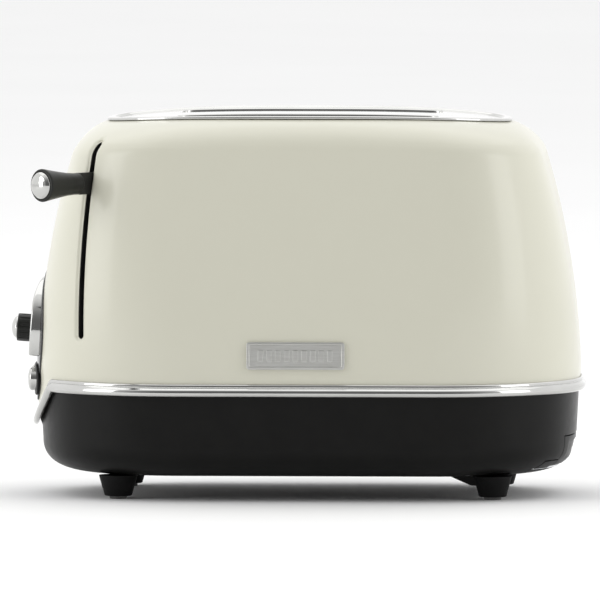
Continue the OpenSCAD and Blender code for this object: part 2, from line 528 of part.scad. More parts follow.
// ---- crumb tray ----
module tray_outline(k) intersection() {
  rrect(132.6 - k, 132.6 - k - len_wid, 66.6 - k);
  translate([-78 + k, -46 + k]) square([240, 92 - 2 * k]);
}
module crumb_tray_pan() color(steel) placed() {
  translate([0, 0, 13.3]) linear_extrude(height = 0.8) tray_outline(0);
  translate([0, 0, 14]) linear_extrude(height = 3.4) difference() { tray_outline(0); tray_outline(0.8); }
}
module crumb_tray_handle() color(black) placed() difference() {
  intersection() {
    union() {
      translate([118, -34, 14.2]) cube([40, 68, 16]);
      translate([108, -46, 13.5]) cube([50, 92, 4.2]);
    }
    cap_skin([for (z = [12.2, 13, 15.5, 19, 23, 28, 34]) base_ring(base_a(z) - 0.2, z)]);
  }
  translate([0, 0, 17.72]) linear_extrude(height = 20) rrect(136.2, 136.2 - len_wid, 70.2);
  translate([0, 0, 13]) linear_extrude(height = 6) tray_outline(-0.05);
}

// ---- bread guards: wire grids that lean in on their lower wire ----
module bread_guard(y) color(steel) placed() {
  translate([-81.6, y, guard_z]) rotate([0, 90, 0]) cylinder(r = 0.9, h = 163.2, $fn = 24);
  for (z = [118, 177]) translate([-74, y, z]) rotate([0, 90, 0]) cylinder(r = 0.9, h = 148, $fn = 24);
  for (i = [-4:4]) translate([i * 17.5, y, guard_z]) cylinder(r = 0.75, h = 117, $fn = 24);
}
module bread_guard_near_outer() bread_guard(guard_ys[0]);
module bread_guard_near_inner() bread_guard(guard_ys[1]);
module bread_guard_far_inner() bread_guard(guard_ys[2]);
module bread_guard_far_outer() bread_guard(guard_ys[3]);

outer_shell();
top_plate();
trim_band();
base();
feet();
foot_pads();
name_badge();
control_panel();
button_surround();
dial_bezel();
dial_scale();
front_bulkhead();
rear_bulkhead();
side_reflector_near();
side_reflector_far();
chassis_rails();
heater_board_near_outer();
heater_board_near_inner();
heater_board_far_inner();
heater_board_far_outer();
heater_ribbon_near_outer();
heater_ribbon_near_inner();
heater_ribbon_far_inner();
heater_ribbon_far_outer();
guide_rod();
lift_spring();
electromagnet_core();
electromagnet_coil();
control_board();
board_components();
potentiometer();
terminal_block();
cord_gland();
internal_leads();
cord_cleats();
base_screws();
chassis_screws();
carriage_bracket();
carriage_bushes();
bread_rack_near();
bread_rack_far();
lever_arm();
lever_handle();
lever_cap();
armature_plate();
browning_knob();
knob_cap();
knob_shaft();
cancel_button();
reheat_button();
defrost_button();
crumb_tray_pan();
crumb_tray_handle();
bread_guard_near_outer();
bread_guard_near_inner();
bread_guard_far_inner();
bread_guard_far_outer();
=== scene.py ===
"""Looks of the two-slot pop-up toaster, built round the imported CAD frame."""
import json
import math

import bmesh
import bpy
import numpy as np
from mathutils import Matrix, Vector
from mathutils.geometry import delaunay_2d_cdt


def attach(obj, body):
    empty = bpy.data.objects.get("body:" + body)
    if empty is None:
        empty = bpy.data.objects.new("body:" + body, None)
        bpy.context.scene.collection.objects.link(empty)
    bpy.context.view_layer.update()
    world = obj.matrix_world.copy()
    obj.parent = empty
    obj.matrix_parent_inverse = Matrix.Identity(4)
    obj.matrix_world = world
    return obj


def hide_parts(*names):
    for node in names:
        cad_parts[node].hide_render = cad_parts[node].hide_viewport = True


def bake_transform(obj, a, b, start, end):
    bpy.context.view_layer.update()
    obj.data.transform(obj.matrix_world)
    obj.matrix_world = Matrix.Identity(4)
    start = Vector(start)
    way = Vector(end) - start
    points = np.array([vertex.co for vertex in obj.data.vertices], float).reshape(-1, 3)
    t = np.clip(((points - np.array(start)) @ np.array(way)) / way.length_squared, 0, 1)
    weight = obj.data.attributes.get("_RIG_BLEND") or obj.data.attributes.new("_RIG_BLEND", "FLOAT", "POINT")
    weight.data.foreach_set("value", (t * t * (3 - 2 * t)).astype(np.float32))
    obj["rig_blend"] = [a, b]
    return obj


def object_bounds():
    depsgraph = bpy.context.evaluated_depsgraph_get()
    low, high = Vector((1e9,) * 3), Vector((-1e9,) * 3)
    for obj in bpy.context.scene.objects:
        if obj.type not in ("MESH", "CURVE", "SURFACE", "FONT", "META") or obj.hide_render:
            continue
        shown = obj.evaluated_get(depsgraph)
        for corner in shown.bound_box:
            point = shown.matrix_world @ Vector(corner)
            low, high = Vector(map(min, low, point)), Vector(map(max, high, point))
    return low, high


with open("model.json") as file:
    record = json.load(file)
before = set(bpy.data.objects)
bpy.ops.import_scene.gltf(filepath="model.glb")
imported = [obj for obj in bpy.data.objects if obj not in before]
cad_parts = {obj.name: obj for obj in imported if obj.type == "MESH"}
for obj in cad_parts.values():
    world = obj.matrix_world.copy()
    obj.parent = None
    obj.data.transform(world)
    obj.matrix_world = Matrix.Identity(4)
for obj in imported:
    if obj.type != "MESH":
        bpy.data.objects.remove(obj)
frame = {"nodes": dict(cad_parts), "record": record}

cad_lo, cad_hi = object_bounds()
MM = 0.001
OFF = np.array([6.0, 0.0, 2.5])      # body axes (mm) to the frame's axes
cos, sin, sqrt, pi = math.cos, math.sin, math.sqrt, math.pi


# ------------------------------------------------------------------ helpers
def lerp(a, b, t):
    return a + (b - a) * t


def clamp01(t):
    return min(1.0, max(0.0, t))


def smooth(t):
    u = clamp01(t)
    return u * u * (3 - 2 * u)


def make(name, verts_mm, faces, body, mat, slot=None, replaces=(), angle=35.0, fix=True, weld=0.0):
    """A mesh piece from points in body millimetres, riding on a CAD body."""
    me = bpy.data.meshes.new(name)
    v = (np.asarray(verts_mm, float).reshape(-1, 3) + OFF) * MM
    me.from_pydata([tuple(p) for p in v], [], [tuple(int(i) for i in f) for f in faces])
    me.update()
    bm = bmesh.new()
    bm.from_mesh(me)
    if weld:
        bmesh.ops.remove_doubles(bm, verts=bm.verts, dist=weld * MM)
    if fix:
        bmesh.ops.recalc_face_normals(bm, faces=bm.faces)
    bm.to_mesh(me)
    bm.free()
    finish_mesh(me, angle)
    ob = bpy.data.objects.new(name, me)
    bpy.context.scene.collection.objects.link(ob)
    me.materials.append(mat)
    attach(ob, body)
    if replaces:
        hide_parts(*replaces)
    return ob


def finish_mesh(me, angle):
    me.shade_smooth()
    me.set_sharp_from_angle(angle=math.radians(angle))


def solidify(ob, mm, offset=-1.0):
    m = ob.modifiers.new("wall", "SOLIDIFY")
    m.thickness = mm * MM
    m.offset = offset
    m.use_even_offset = True
    bake(ob)


def bake(ob, angle=35.0):
    """Applies the modifiers into the mesh."""
    dg = bpy.context.evaluated_depsgraph_get()
    me = bpy.data.meshes.new_from_object(ob.evaluated_get(dg), depsgraph=dg)
    ob.modifiers.clear()
    old = ob.data
    ob.data = me
    bpy.data.meshes.remove(old)
    finish_mesh(ob.data, angle)


def boolean(ob, cutters, op="DIFFERENCE", angle=35.0):
    for c in cutters:
        m = ob.modifiers.new("cut", "BOOLEAN")
        m.object = c
        m.operation = op
        m.solver = "EXACT"
    bake(ob, angle)
    for c in cutters:
        bpy.data.objects.remove(c)


def cutter(verts_mm, faces):
    me = bpy.data.meshes.new("cutter")
    v = (np.asarray(verts_mm, float).reshape(-1, 3) + OFF) * MM
    me.from_pydata([tuple(p) for p in v], [], [tuple(int(i) for i in f) for f in faces])
    bm = bmesh.new()
    bm.from_mesh(me)
    bmesh.ops.recalc_face_normals(bm, faces=bm.faces)
    bm.to_mesh(me)
    bm.free()
    ob = bpy.data.objects.new("cutter", me)
    bpy.context.scene.collection.objects.link(ob)
    return ob


def box_mesh(lo, hi):
    x0, y0, z0 = lo
    x1, y1, z1 = hi
    v = [(x0, y0, z0), (x1, y0, z0), (x1, y1, z0), (x0, y1, z0), (x0, y0, z1), (x1, y0, z1), (x1, y1, z1), (x0, y1, z1)]
    f = [(0, 3, 2, 1), (4, 5, 6, 7), (0, 1, 5, 4), (1, 2, 6, 5), (2, 3, 7, 6), (3, 0, 4, 7)]
    return v, f


def loft(rings, stack=False, caps=False, closed=True):
    """Quads through rings of equal length. stack closes last to first, caps fans both ends from a middle point."""
    r = [np.asarray(q, float) for q in rings]
    n, c = len(r[0]), len(r)
    v = np.vstack(r)
    f = []
    for i in range(c if stack else c - 1):
        a, b = i * n, ((i + 1) % c) * n
        for j in range(n if closed else n - 1):
            m = (j + 1) % n
            f.append((a + j, a + m, b + m, b + j))
    if caps:
        e = len(v)
        v = np.vstack([v, r[0].mean(0), r[-1].mean(0)])
        for j in range(n):
            m = (j + 1) % n
            f.append((m, j, e))
            f.append(((c - 1) * n + j, (c - 1) * n + m, e + 1))
    return v, f


def join(parts):
    vs, fs, k = [], [], 0
    for v, f in parts:
        v = np.asarray(v, float).reshape(-1, 3)
        vs.append(v)
        fs += [tuple(i + k for i in q) for q in f]
        k += len(v)
    return np.vstack(vs), fs


def fillet(pts, radii, n=5, closed=False):
    """Polyline with its corners rounded. radii is one number or one per point."""
    pts = [np.asarray(p, float) for p in pts]
    m = len(pts)
    if not hasattr(radii, "__len__"):
        radii = [radii] * m
    out = []
    for i, p in enumerate(pts):
        if (not closed and i in (0, m - 1)) or radii[i] <= 0:
            out.append(p)
            continue
        a, b = pts[i - 1] - p, pts[(i + 1) % m] - p
        la, lb = np.linalg.norm(a), np.linalg.norm(b)
        a, b = a / la, b / lb
        ang = math.acos(max(-1, min(1, float(a @ b))))
        if ang > pi - 0.02:
            out.append(p)
            continue
        d = min(radii[i] / math.tan(ang / 2), la * 0.49, lb * 0.49)
        r = d * math.tan(ang / 2)
        c = p + (a + b) / np.linalg.norm(a + b) * (r / sin(ang / 2))
        s, e = p + a * d - c, p + b * d - c
        w = math.acos(max(-1, min(1, float(s @ e) / (np.linalg.norm(s) * np.linalg.norm(e)))))
        for k in range(n + 1):
            t = k / n
            q = (s * sin((1 - t) * w) + e * sin(t * w)) / max(1e-9, sin(w))
            out.append(c + q)
    return np.array(out)


def densify(pts, step, closed=False):
    pts = [np.asarray(p, float) for p in pts]
    out = []
    m = len(pts)
    for i in range(m if closed else m - 1):
        a, b = pts[i], pts[(i + 1) % m]
        k = max(1, int(math.ceil(np.linalg.norm(b - a) / step)))
        out += [a + (b - a) * (j / k) for j in range(k)]
    if not closed:
        out.append(pts[-1])
    return np.array(out)


def lathe(profile, n=96, m=None, flute=None):
    """Turned solid about local z from (radius, height) points that start and end on the axis."""
    prof = [tuple(p) for p in profile]
    inner = [p for p in prof if p[0] > 1e-6]
    rings = []
    for r, z in inner:
        ring = []
        for j in range(n):
            t = 2 * pi * j / n
            rr = flute(r, z, t) if flute else r
            ring.append((rr * cos(t), rr * sin(t), z))
        rings.append(ring)
    v, f = loft(rings)
    ends = []
    if prof[0][0] <= 1e-6:
        e = len(v)
        v = np.vstack([v, (0, 0, prof[0][1])])
        f += [((j + 1) % n, j, e) for j in range(n)]
        ends.append(0)
    if prof[-1][0] <= 1e-6:
        e = len(v)
        k = (len(inner) - 1) * n
        v = np.vstack([v, (0, 0, prof[-1][1])])
        f += [(k + j, k + (j + 1) % n, e) for j in range(n)]
    if prof[0][0] > 1e-6 and prof[-1][0] > 1e-6:      # ring section: close it
        k = (len(inner) - 1) * n
        f += [(k + j, k + (j + 1) % n, (j + 1) % n, j) for j in range(n)]
    return (move(m, v) if m is not None else v), f


def frame_matrix(origin, rot):
    m = np.eye(4)
    m[:3, :3] = rot
    m[:3, 3] = origin
    return m


def rot_z(a):
    a = math.radians(a)
    return np.array([[cos(a), -sin(a), 0], [sin(a), cos(a), 0], [0, 0, 1]])


def rot_y(a):
    a = math.radians(a)
    return np.array([[cos(a), 0, sin(a)], [0, 1, 0], [-sin(a), 0, cos(a)]])


def rot_x(a):
    a = math.radians(a)
    return np.array([[1, 0, 0], [0, cos(a), -sin(a)], [0, sin(a), cos(a)]])


def move(m, v):
    v = np.asarray(v, float).reshape(-1, 3)
    return v @ m[:3, :3].T + m[:3, 3]


def inside(p, loop):
    """Which 2-D points lie inside a closed loop."""
    p, q = np.asarray(p, float), np.asarray(loop, float)
    hit = np.zeros(len(p), bool)
    x, y = p[:, 0], p[:, 1]
    j = len(q) - 1
    for i in range(len(q)):
        xi, yi, xj, yj = q[i, 0], q[i, 1], q[j, 0], q[j, 1]
        if yi != yj:
            c = ((yi > y) != (yj > y)) & (x < (xj - xi) * (y - yi) / (yj - yi) + xi)
            hit ^= c
        j = i
    return hit


def fill2d(loops, step, margin=None):
    """Triangles between an outer loop and holes, with grid points inside. Returns points, faces and each loop's indices."""
    margin = step * 0.45 if margin is None else margin
    pts, edges, idx = [], [], []
    for lp in loops:
        lp = np.asarray(lp, float)
        k = len(pts)
        pts += [tuple(p) for p in lp]
        n = len(lp)
        edges += [(k + i, k + (i + 1) % n) for i in range(n)]
        idx.append(list(range(k, k + n)))
    allp = np.array(pts)
    lo, hi = allp.min(0), allp.max(0)
    gx = np.arange(lo[0] + step * 0.5, hi[0], step)
    gy = np.arange(lo[1] + step * 0.5, hi[1], step * 0.866)
    grid = np.array([(x + (0.5 * step if k % 2 else 0), y) for k, y in enumerate(gy) for x in gx]).reshape(-1, 2)
    if len(grid):
        ok = inside(grid, loops[0])
        for h in loops[1:]:
            ok &= ~inside(grid, h)
        grid = grid[ok]
        keep = []
        for g in grid:
            if ((allp - g) ** 2).sum(1).min() > margin ** 2 * 1.5:
                keep.append(g)
        pts += [tuple(g) for g in keep]
    vs, _, fs, orig, _, _ = delaunay_2d_cdt([Vector(p) for p in pts], edges, [], 0, 1e-7)
    vs = np.array([tuple(v) for v in vs])
    back = {}
    for new, olds in enumerate(orig):
        for o in olds:
            back[o] = new
    cen = np.array([vs[list(f)].mean(0) for f in fs])
    ok = inside(cen, loops[0])
    for h in loops[1:]:
        ok &= ~inside(cen, h)
    faces = [tuple(f) for f, k in zip(fs, ok) if k]
    return vs, faces, [[back[i] for i in lst] for lst in idx]


def slab(loops_at, steps, surf_top, surf_bot, step):
    """Closed plate. loops_at(k) gives the outer loop and holes inset by k. steps is a list of (inset, drop) from the
    top sheet's edge to the bottom; surf_top(p, drop) and surf_bot(p) map 2-D points to space."""
    k0 = steps[0][0]
    base = loops_at(k0)
    vs, faces, idx = fill2d(base, step)
    top = surf_top(vs, steps[0][1])
    parts_v = [top]
    out = [tuple(f) for f in faces]
    count = len(top)
    prev = [list(i) for i in idx]
    for k, drop in steps[1:]:
        loops = loops_at(k)
        cur = []
        for lp, pv in zip(loops, prev):
            q = surf_top(np.asarray(lp, float), drop)
            parts_v.append(q)
            ids = list(range(count, count + len(q)))
            count += len(q)
            n = len(q)
            out += [(pv[i], pv[(i + 1) % n], ids[(i + 1) % n], ids[i]) for i in range(n)]
            cur.append(ids)
        prev = cur
    last = loops_at(steps[-1][0])
    flat = vs.copy()
    for lp, ids in zip(last, idx):
        flat[ids] = np.asarray(lp, float)
    bot = surf_bot(flat)
    parts_v.append(bot)
    out += [tuple(count + i for i in reversed(f)) for f in faces]
    for ids, pv in zip(idx, prev):
        n = len(ids)
        out += [(pv[i], pv[(i + 1) % n], count + ids[(i + 1) % n], count + ids[i]) for i in range(n)]
    return np.vstack(parts_v), out


def rr_loop(a, b, r, n=16, step=4.0, cx=0.0, cy=0.0):
    """Rounded rectangle as 2-D points, counter-clockwise."""
    out = []
    for ox, oy, a0 in ((a - r, b - r, 0), (r - a, b - r, 90), (r - a, r - b, 180), (a - r, r - b, 270)):
        for i in range(n + 1):
            t = math.radians(a0 + 90 * i / n)
            out.append((cx + ox + r * cos(t), cy + oy + r * sin(t)))
    return out


def rr_loop_fixed(a, b, r, n, ns, ne, cx=0.0, cy=0.0):
    """The same with a fixed number of points on the straights, so that loops of different size match."""
    out = []
    cs = [(a - r, b - r, 0, ns), (r - a, b - r, 90, ne), (r - a, r - b, 180, ns), (a - r, r - b, 270, ne)]
    for k, (ox, oy, a0, m) in enumerate(cs):
        arc = [(ox + r * cos(math.radians(a0 + 90 * i / n)), oy + r * sin(math.radians(a0 + 90 * i / n))) for i in range(n + 1)]
        out += arc
        nx = cs[(k + 1) % 4]
        p = arc[-1]
        q = (nx[0] + r * cos(math.radians(nx[2])), nx[1] + r * sin(math.radians(nx[2])))
        out += [(lerp(p[0], q[0], i / m), lerp(p[1], q[1], i / m)) for i in range(1, m)]
    return [(x + cx, y + cy) for x, y in out]


# ------------------------------------------------------------------ materials
def _mat(name):
    m = bpy.data.materials.new(name)
    m.use_nodes = True
    nt = m.node_tree
    b = next(n for n in nt.nodes if n.type == "BSDF_PRINCIPLED")
    return m, nt, b


def noise(nt, scale, detail=3.0, rough=0.55, co=None):
    t = nt.nodes.new("ShaderNodeTexNoise")
    t.inputs["Scale"].default_value = scale
    t.inputs["Detail"].default_value = detail
    t.inputs["Roughness"].default_value = rough
    if co is not None:
        nt.links.new(co, t.inputs["Vector"])
    return t


def obj_co(nt, scale=None):
    t = nt.nodes.new("ShaderNodeTexCoord")
    if scale is None:
        return t.outputs["Object"]
    mp = nt.nodes.new("ShaderNodeMapping")
    mp.inputs["Scale"].default_value = scale
    nt.links.new(t.outputs["Object"], mp.inputs["Vector"])
    return mp.outputs["Vector"]


def ramp(nt, fac, stops):
    r = nt.nodes.new("ShaderNodeValToRGB")
    e = r.color_ramp.elements
    while len(e) < len(stops):
        e.new(0.5)
    for k, (p, c) in enumerate(stops):
        e[k].position = p
        e[k].color = (*c, 1) if len(c) == 3 else c
    nt.links.new(fac, r.inputs["Fac"])
    return r.outputs["Color"]


def map_range(nt, val, a, b, c, d):
    m = nt.nodes.new("ShaderNodeMapRange")
    m.inputs["From Min"].default_value = a
    m.inputs["From Max"].default_value = b
    m.inputs["To Min"].default_value = c
    m.inputs["To Max"].default_value = d
    nt.links.new(val, m.inputs["Value"])
    return m.outputs["Result"]


def bump(nt, b, height, strength, distance):
    n = nt.nodes.new("ShaderNodeBump")
    n.inputs["Strength"].default_value = strength
    n.inputs["Distance"].default_value = distance
    nt.links.new(height, n.inputs["Height"])
    nt.links.new(n.outputs["Normal"], b.inputs["Normal"])
    return n


def surface(name, c1, c2, rough, metal=0.0, scale=30.0, spread=(0.35, 0.65), coat=0.0, coat_rough=0.05,
            rough_scale=60.0, bump_scale=800.0, bump_strength=0.05, bump_mm=0.02, stretch=None, ior=1.5, spec=0.5):
    """Finish with broad colour variation, roughness variation and a fine bump, all in object space."""
    m, nt, b = _mat(name)
    co = obj_co(nt, stretch)
    n1 = noise(nt, scale, 4, 0.6, co)
    nt.links.new(ramp(nt, n1.outputs["Fac"], [(spread[0], c1), (spread[1], c2)]), b.inputs["Base Color"])
    n2 = noise(nt, rough_scale, 3, 0.6, co)
    nt.links.new(map_range(nt, n2.outputs["Fac"], 0.3, 0.7, rough[0], rough[1]), b.inputs["Roughness"])
    n3 = noise(nt, bump_scale, 2, 0.5, co)
    bump(nt, b, n3.outputs["Fac"], bump_strength, bump_mm * MM)
    b.inputs["Metallic"].default_value = metal
    b.inputs["IOR"].default_value = ior
    b.inputs["Specular IOR Level"].default_value = spec
    b.inputs["Coat Weight"].default_value = coat
    b.inputs["Coat Roughness"].default_value = coat_rough
    return m


M = {}
M["cream_paint"] = surface("cream_paint", (0.678, 0.668, 0.560), (0.688, 0.678, 0.570), (0.31, 0.325), scale=9, spread=(0.2, 0.8), coat=0.3,
                           coat_rough=0.12, rough_scale=12, bump_scale=650, bump_strength=0.04, bump_mm=0.02, spec=0.35)
M["bright_chrome"] = surface("bright_chrome", (0.56, 0.56, 0.545), (0.61, 0.61, 0.595), (0.06, 0.10), 1.0, scale=25,
                             rough_scale=45, bump_scale=120, bump_strength=0.02, bump_mm=0.02)
M["black_satin_plastic"] = surface("black_satin_plastic", (0.0045, 0.0045, 0.0042), (0.006, 0.006, 0.0056), (0.32, 0.38),
                                   scale=60, rough_scale=200, bump_scale=2200, bump_strength=0.12, bump_mm=0.02, spec=0.14)
M["black_rubber_feet"] = surface("black_rubber_feet", (0.004, 0.004, 0.004), (0.006, 0.006, 0.006), (0.52, 0.66), scale=90,
                                 rough_scale=300, bump_scale=1800, bump_strength=0.25, bump_mm=0.03, spec=0.15)
M["grey_rubber_pads"] = surface("grey_rubber_pads", (0.13, 0.13, 0.125), (0.17, 0.17, 0.165), (0.7, 0.85), scale=150,
                                rough_scale=400, bump_scale=2200, bump_strength=0.35, bump_mm=0.03, spec=0.3)
M["badge_metal"] = surface("badge_metal", (0.56, 0.56, 0.535), (0.62, 0.62, 0.60), (0.34, 0.44), 1.0, scale=120,
                           rough_scale=300, bump_scale=900, bump_strength=0.06, bump_mm=0.02, stretch=(1, 1, 12))
M["black_gloss_panel"] = surface("black_gloss_panel", (0.006, 0.006, 0.006), (0.009, 0.009, 0.009), (0.13, 0.20), scale=50,
                                 rough_scale=80, bump_scale=400, bump_strength=0.02, bump_mm=0.02, coat=0.4)
M["black_handle_plastic"] = surface("black_handle_plastic", (0.008, 0.0085, 0.007), (0.011, 0.0115, 0.0095), (0.30, 0.38),
                                    scale=70, rough_scale=220, bump_scale=2400, bump_strength=0.14, bump_mm=0.02, spec=0.28)
M["dial_face_white"] = surface("dial_face_white", (0.74, 0.74, 0.71), (0.80, 0.80, 0.77), (0.36, 0.44), scale=60,
                               rough_scale=120, bump_scale=1500, bump_strength=0.06, bump_mm=0.01)
M["zinc_steel"] = surface("zinc_steel", (0.44, 0.45, 0.46), (0.58, 0.59, 0.60), (0.30, 0.46), 1.0, scale=70,
                          spread=(0.25, 0.75), rough_scale=90, bump_scale=500, bump_strength=0.06, bump_mm=0.02)
M["bright_sheet"] = surface("bright_sheet", (0.62, 0.63, 0.64), (0.74, 0.75, 0.76), (0.22, 0.36), 1.0, scale=40,
                            rough_scale=160, bump_scale=600, bump_strength=0.05, bump_mm=0.02, stretch=(0.15, 1, 1))
M["mica_board"] = surface("mica_board", (0.50, 0.41, 0.27), (0.63, 0.55, 0.39), (0.42, 0.6), scale=60, spread=(0.2, 0.8),
                          rough_scale=300, bump_scale=900, bump_strength=0.2, bump_mm=0.04, stretch=(1, 1, 3))
M["resistance_ribbon"] = surface("resistance_ribbon", (0.20, 0.17, 0.14), (0.33, 0.29, 0.25), (0.35, 0.5), 0.9, scale=90,
                                 rough_scale=200, bump_scale=900, bump_strength=0.1, bump_mm=0.02)
M["bright_steel"] = surface("bright_steel", (0.60, 0.60, 0.61), (0.70, 0.70, 0.71), (0.14, 0.24), 1.0, scale=60,
                            rough_scale=150, bump_scale=700, bump_strength=0.04, bump_mm=0.01)
M["wire_steel"] = surface("wire_steel", (0.50, 0.50, 0.50), (0.62, 0.62, 0.61), (0.22, 0.34), 1.0, scale=80,
                          rough_scale=200, bump_scale=900, bump_strength=0.05, bump_mm=0.01)
M["coil_copper"] = surface("coil_copper", (0.42, 0.17, 0.07), (0.58, 0.27, 0.12), (0.25, 0.38), 0.9, scale=90,
                           rough_scale=300, bump_scale=1600, bump_strength=0.4, bump_mm=0.08, stretch=(0.1, 0.1, 3))
M["board_green"] = surface("board_green", (0.02, 0.09, 0.04), (0.03, 0.13, 0.06), (0.30, 0.42), scale=50,
                           rough_scale=200, bump_scale=500, bump_strength=0.12, bump_mm=0.03)
M["component_black"] = surface("component_black", (0.012, 0.012, 0.014), (0.022, 0.022, 0.024), (0.42, 0.55), scale=90,
                               rough_scale=300, bump_scale=1500, bump_strength=0.15, bump_mm=0.02)
M["ivory_nylon"] = surface("ivory_nylon", (0.66, 0.63, 0.54), (0.74, 0.71, 0.62), (0.38, 0.5), scale=60,
                           rough_scale=200, bump_scale=1200, bump_strength=0.1, bump_mm=0.02)
M["lead_insulation"] = surface("lead_insulation", (0.46, 0.46, 0.44), (0.55, 0.55, 0.52), (0.5, 0.62), scale=60,
                               rough_scale=300, bump_scale=1500, bump_strength=0.15, bump_mm=0.03)
M["black_coated_steel"] = surface("black_coated_steel", (0.009, 0.009, 0.009), (0.015, 0.015, 0.014), (0.36, 0.46), scale=90,
                                  rough_scale=300, bump_scale=1600, bump_strength=0.15, bump_mm=0.02)

# every CAD node takes the finish that the record names for it
for row in frame["record"].get("subparts", []):
    n, q = row.get("node"), row.get("material_slot")
    if n in frame["nodes"] and q in M:
        ob = frame["nodes"][n]
        ob.data.materials.clear()
        ob.data.materials.append(M[q])

# ------------------------------------------------------------------ shape rules shared with the CAD
A0, B0, R0, R1 = 144.0, 86.0, 78.0, 53.0
TL, TW, CROWN = 18.9, 7.0, 3.3
SZ, SH = 180.0, 16.0
OPEN_U, OPEN_A, OPEN_B, OVAL_N = 0.98936, 105.5, 57.5, 2.3
WALL = 1.2


def taper(z):
    return clamp01((z - 60) / 120) ** 1.8


def round_over(u):
    return 1 - sqrt(max(0.0, 1 - u * u))


def sh_a(z):
    return A0 - TL * taper(z) - TL * 0.015 * max(0.0, z - SZ)


def sh_b(z):
    return B0 - TW * taper(z) - TW * 0.015 * max(0.0, z - SZ)


def sh_r(z):
    return lerp(R0, R1, clamp01((z - 60) / 120)) - (R0 - R1) / 120 * max(0.0, z - SZ)


def oval_pts(a, b, q):
    """Points of an oval with half axes a and b, in the directions of q."""
    q = np.asarray(q, float)
    k = ((np.abs(q[:, 0]) / a) ** OVAL_N + (np.abs(q[:, 1]) / b) ** OVAL_N) ** (-1 / OVAL_N)
    return q * k[:, None]


def ring_xy(a, b, r, par):
    """Points of a rounded rectangle: (0..3, angle) on its corners, (4..7, share) on its straight runs."""
    out = []
    for k, t in par:
        if k < 4:
            sx, sy = ((1, 1), (-1, 1), (-1, -1), (1, -1))[k]
            out.append((sx * (a - r) + r * cos(t), sy * (b - r) + r * sin(t)))
        else:
            out.append(((lerp(a - r, r - a, t), b), (-a, lerp(b - r, r - b, t)), (lerp(r - a, a - r, t), -b),
                        (a, lerp(r - b, b - r, t)))[k - 4])
    return np.array(out)


def shell_xy(z, par):
    """Plan points of the shell at height z; the shoulder rounds over to the oval opening."""
    p = ring_xy(sh_a(z), sh_b(z), sh_r(z), par)
    if z > SZ:
        zf = SZ + SH * OPEN_U
        far = ring_xy(sh_a(zf), sh_b(zf), sh_r(zf), par)
        ov = oval_pts(OPEN_A, OPEN_B, far * np.array([OPEN_A / 120, OPEN_B / 77]))
        p = p + (ov - far) * (round_over((z - SZ) / SH) / round_over(OPEN_U))
    return p


def band_z(x, y):
    d = min(70.0, max(0.0, abs(y) - 8))
    return 57 - (19.5 * clamp01(1 - (78 - sqrt(78 * 78 - d * d)) / 9.6) if x < 0 else 0)


def crown_z(x):
    return -CROWN * (abs(x) / 107) ** 3


def rise(x, z):
    return (3.6 + crown_z(x)) * smooth((z - 150) / 40)


def end_x(y, z, o):
    a, b, r = A0 - TL * taper(z) + o, B0 - TW * taper(z) + o, lerp(R0, R1, clamp01((z - 60) / 120)) + o
    d = max(0.0, abs(y) - (b - r))
    return -((a - r) + sqrt(max(0.0, r * r - d * d)))


# ------------------------------------------------------------------ outer shell
SLOT_W = 2.1
slot_cols = [SLOT_W * sin(math.radians(15 * k)) for k in range(7)]
w_pos = slot_cols[1:] + [2.3, 2.55, 2.9, 3.3, 3.8, 4.5, 5.5, 7.0, 9.0, 12.0]
W = [-w for w in reversed(w_pos)] + [0.0] + w_pos


TH = np.radians(np.linspace(182, 268, 900))
TH_PAR = [(2, t) for t in TH]
LP = (-111.4, -59.1)                                          # the lever leaves the shell here


def slot_angles(z):
    """Corner angles whose points stand w beside the lever's plane, for each w."""
    p = shell_xy(z, TH_PAR)
    side = ((p[:, 0] - LP[0]) - (p[:, 1] - LP[1])) / sqrt(2)
    return np.interp(W, side, TH)


def shell_ring(z, zfun):
    """Plan ring of the shell at height z, with columns that run beside the lever slot."""
    n = 40
    par = [(0, math.radians(90 * i / n)) for i in range(n + 1)]                 # far corner, tray end
    par += [(4, i / 24) for i in range(1, 24)]
    par += [(1, math.radians(90 + 90 * i / 48)) for i in range(49)]             # far corner, control end
    par += [(5, i / 8) for i in range(1, 8)]
    th = slot_angles(z)
    par += [(2, lerp(pi, th[0], i / 21)) for i in range(21)]
    par += [(2, t) for t in th]
    par += [(2, lerp(th[-1], 1.5 * pi, i / 21)) for i in range(1, 22)]
    par += [(6, i / 24) for i in range(1, 24)]
    par += [(3, math.radians(270 + 90 * i / n)) for i in range(n + 1)]
    par += [(7, i / 8) for i in range(1, 8)]
    return [(x, y, zfun(x, y)) for x, y in shell_xy(z, par)]


COL0 = 41 + 23 + 49 + 7 + 21                                  # index of the first slot column
SLOT_LO, SLOT_HI = 83.0, 187.5
low_end = [SLOT_LO + SLOT_W - SLOT_W * cos(math.radians(15 * k)) for k in range(7)]     # 83.0 .. 85.1
high_end = [SLOT_HI - SLOT_W + SLOT_W * cos(math.radians(15 * (6 - k))) for k in range(7)]
rows = [("edge", t) for t in (0, 0.03, 0.25, 0.5, 0.75)]
zr = [64, 68, 72, 76, 79, 81, 82.2] + low_end + [86.4, 88.4, 91.5, 95, 99, 103]
zr += [103 + 4.2 * k for k in range(1, 18)] + [177.5, 180.0, 181.3, 182.6, 183.6] + high_end + [187.9, 188.6, 189.5, 190.5,
       191.5, 192.4, 193.2, 193.9, 194.5, 195.0, 195.4, 195.7, 195.83]
rows += [("z", z) for z in sorted(set(round(z, 4) for z in zr))]
zmap = lambda z: (lambda x, y: z + rise(x, z))
rings = []
for kind, v in rows:
    if kind == "edge":
        rings.append(shell_ring(60, lambda x, y, v=v: lerp(band_z(x, y) + 0.6, 64, v)))
    else:
        rings.append(shell_ring(v, zmap(v)))
V = np.array(rings)                                           # rows x columns x 3
nr, nc = V.shape[:2]
rowz = [v if kind == "z" else None for kind, v in rows]
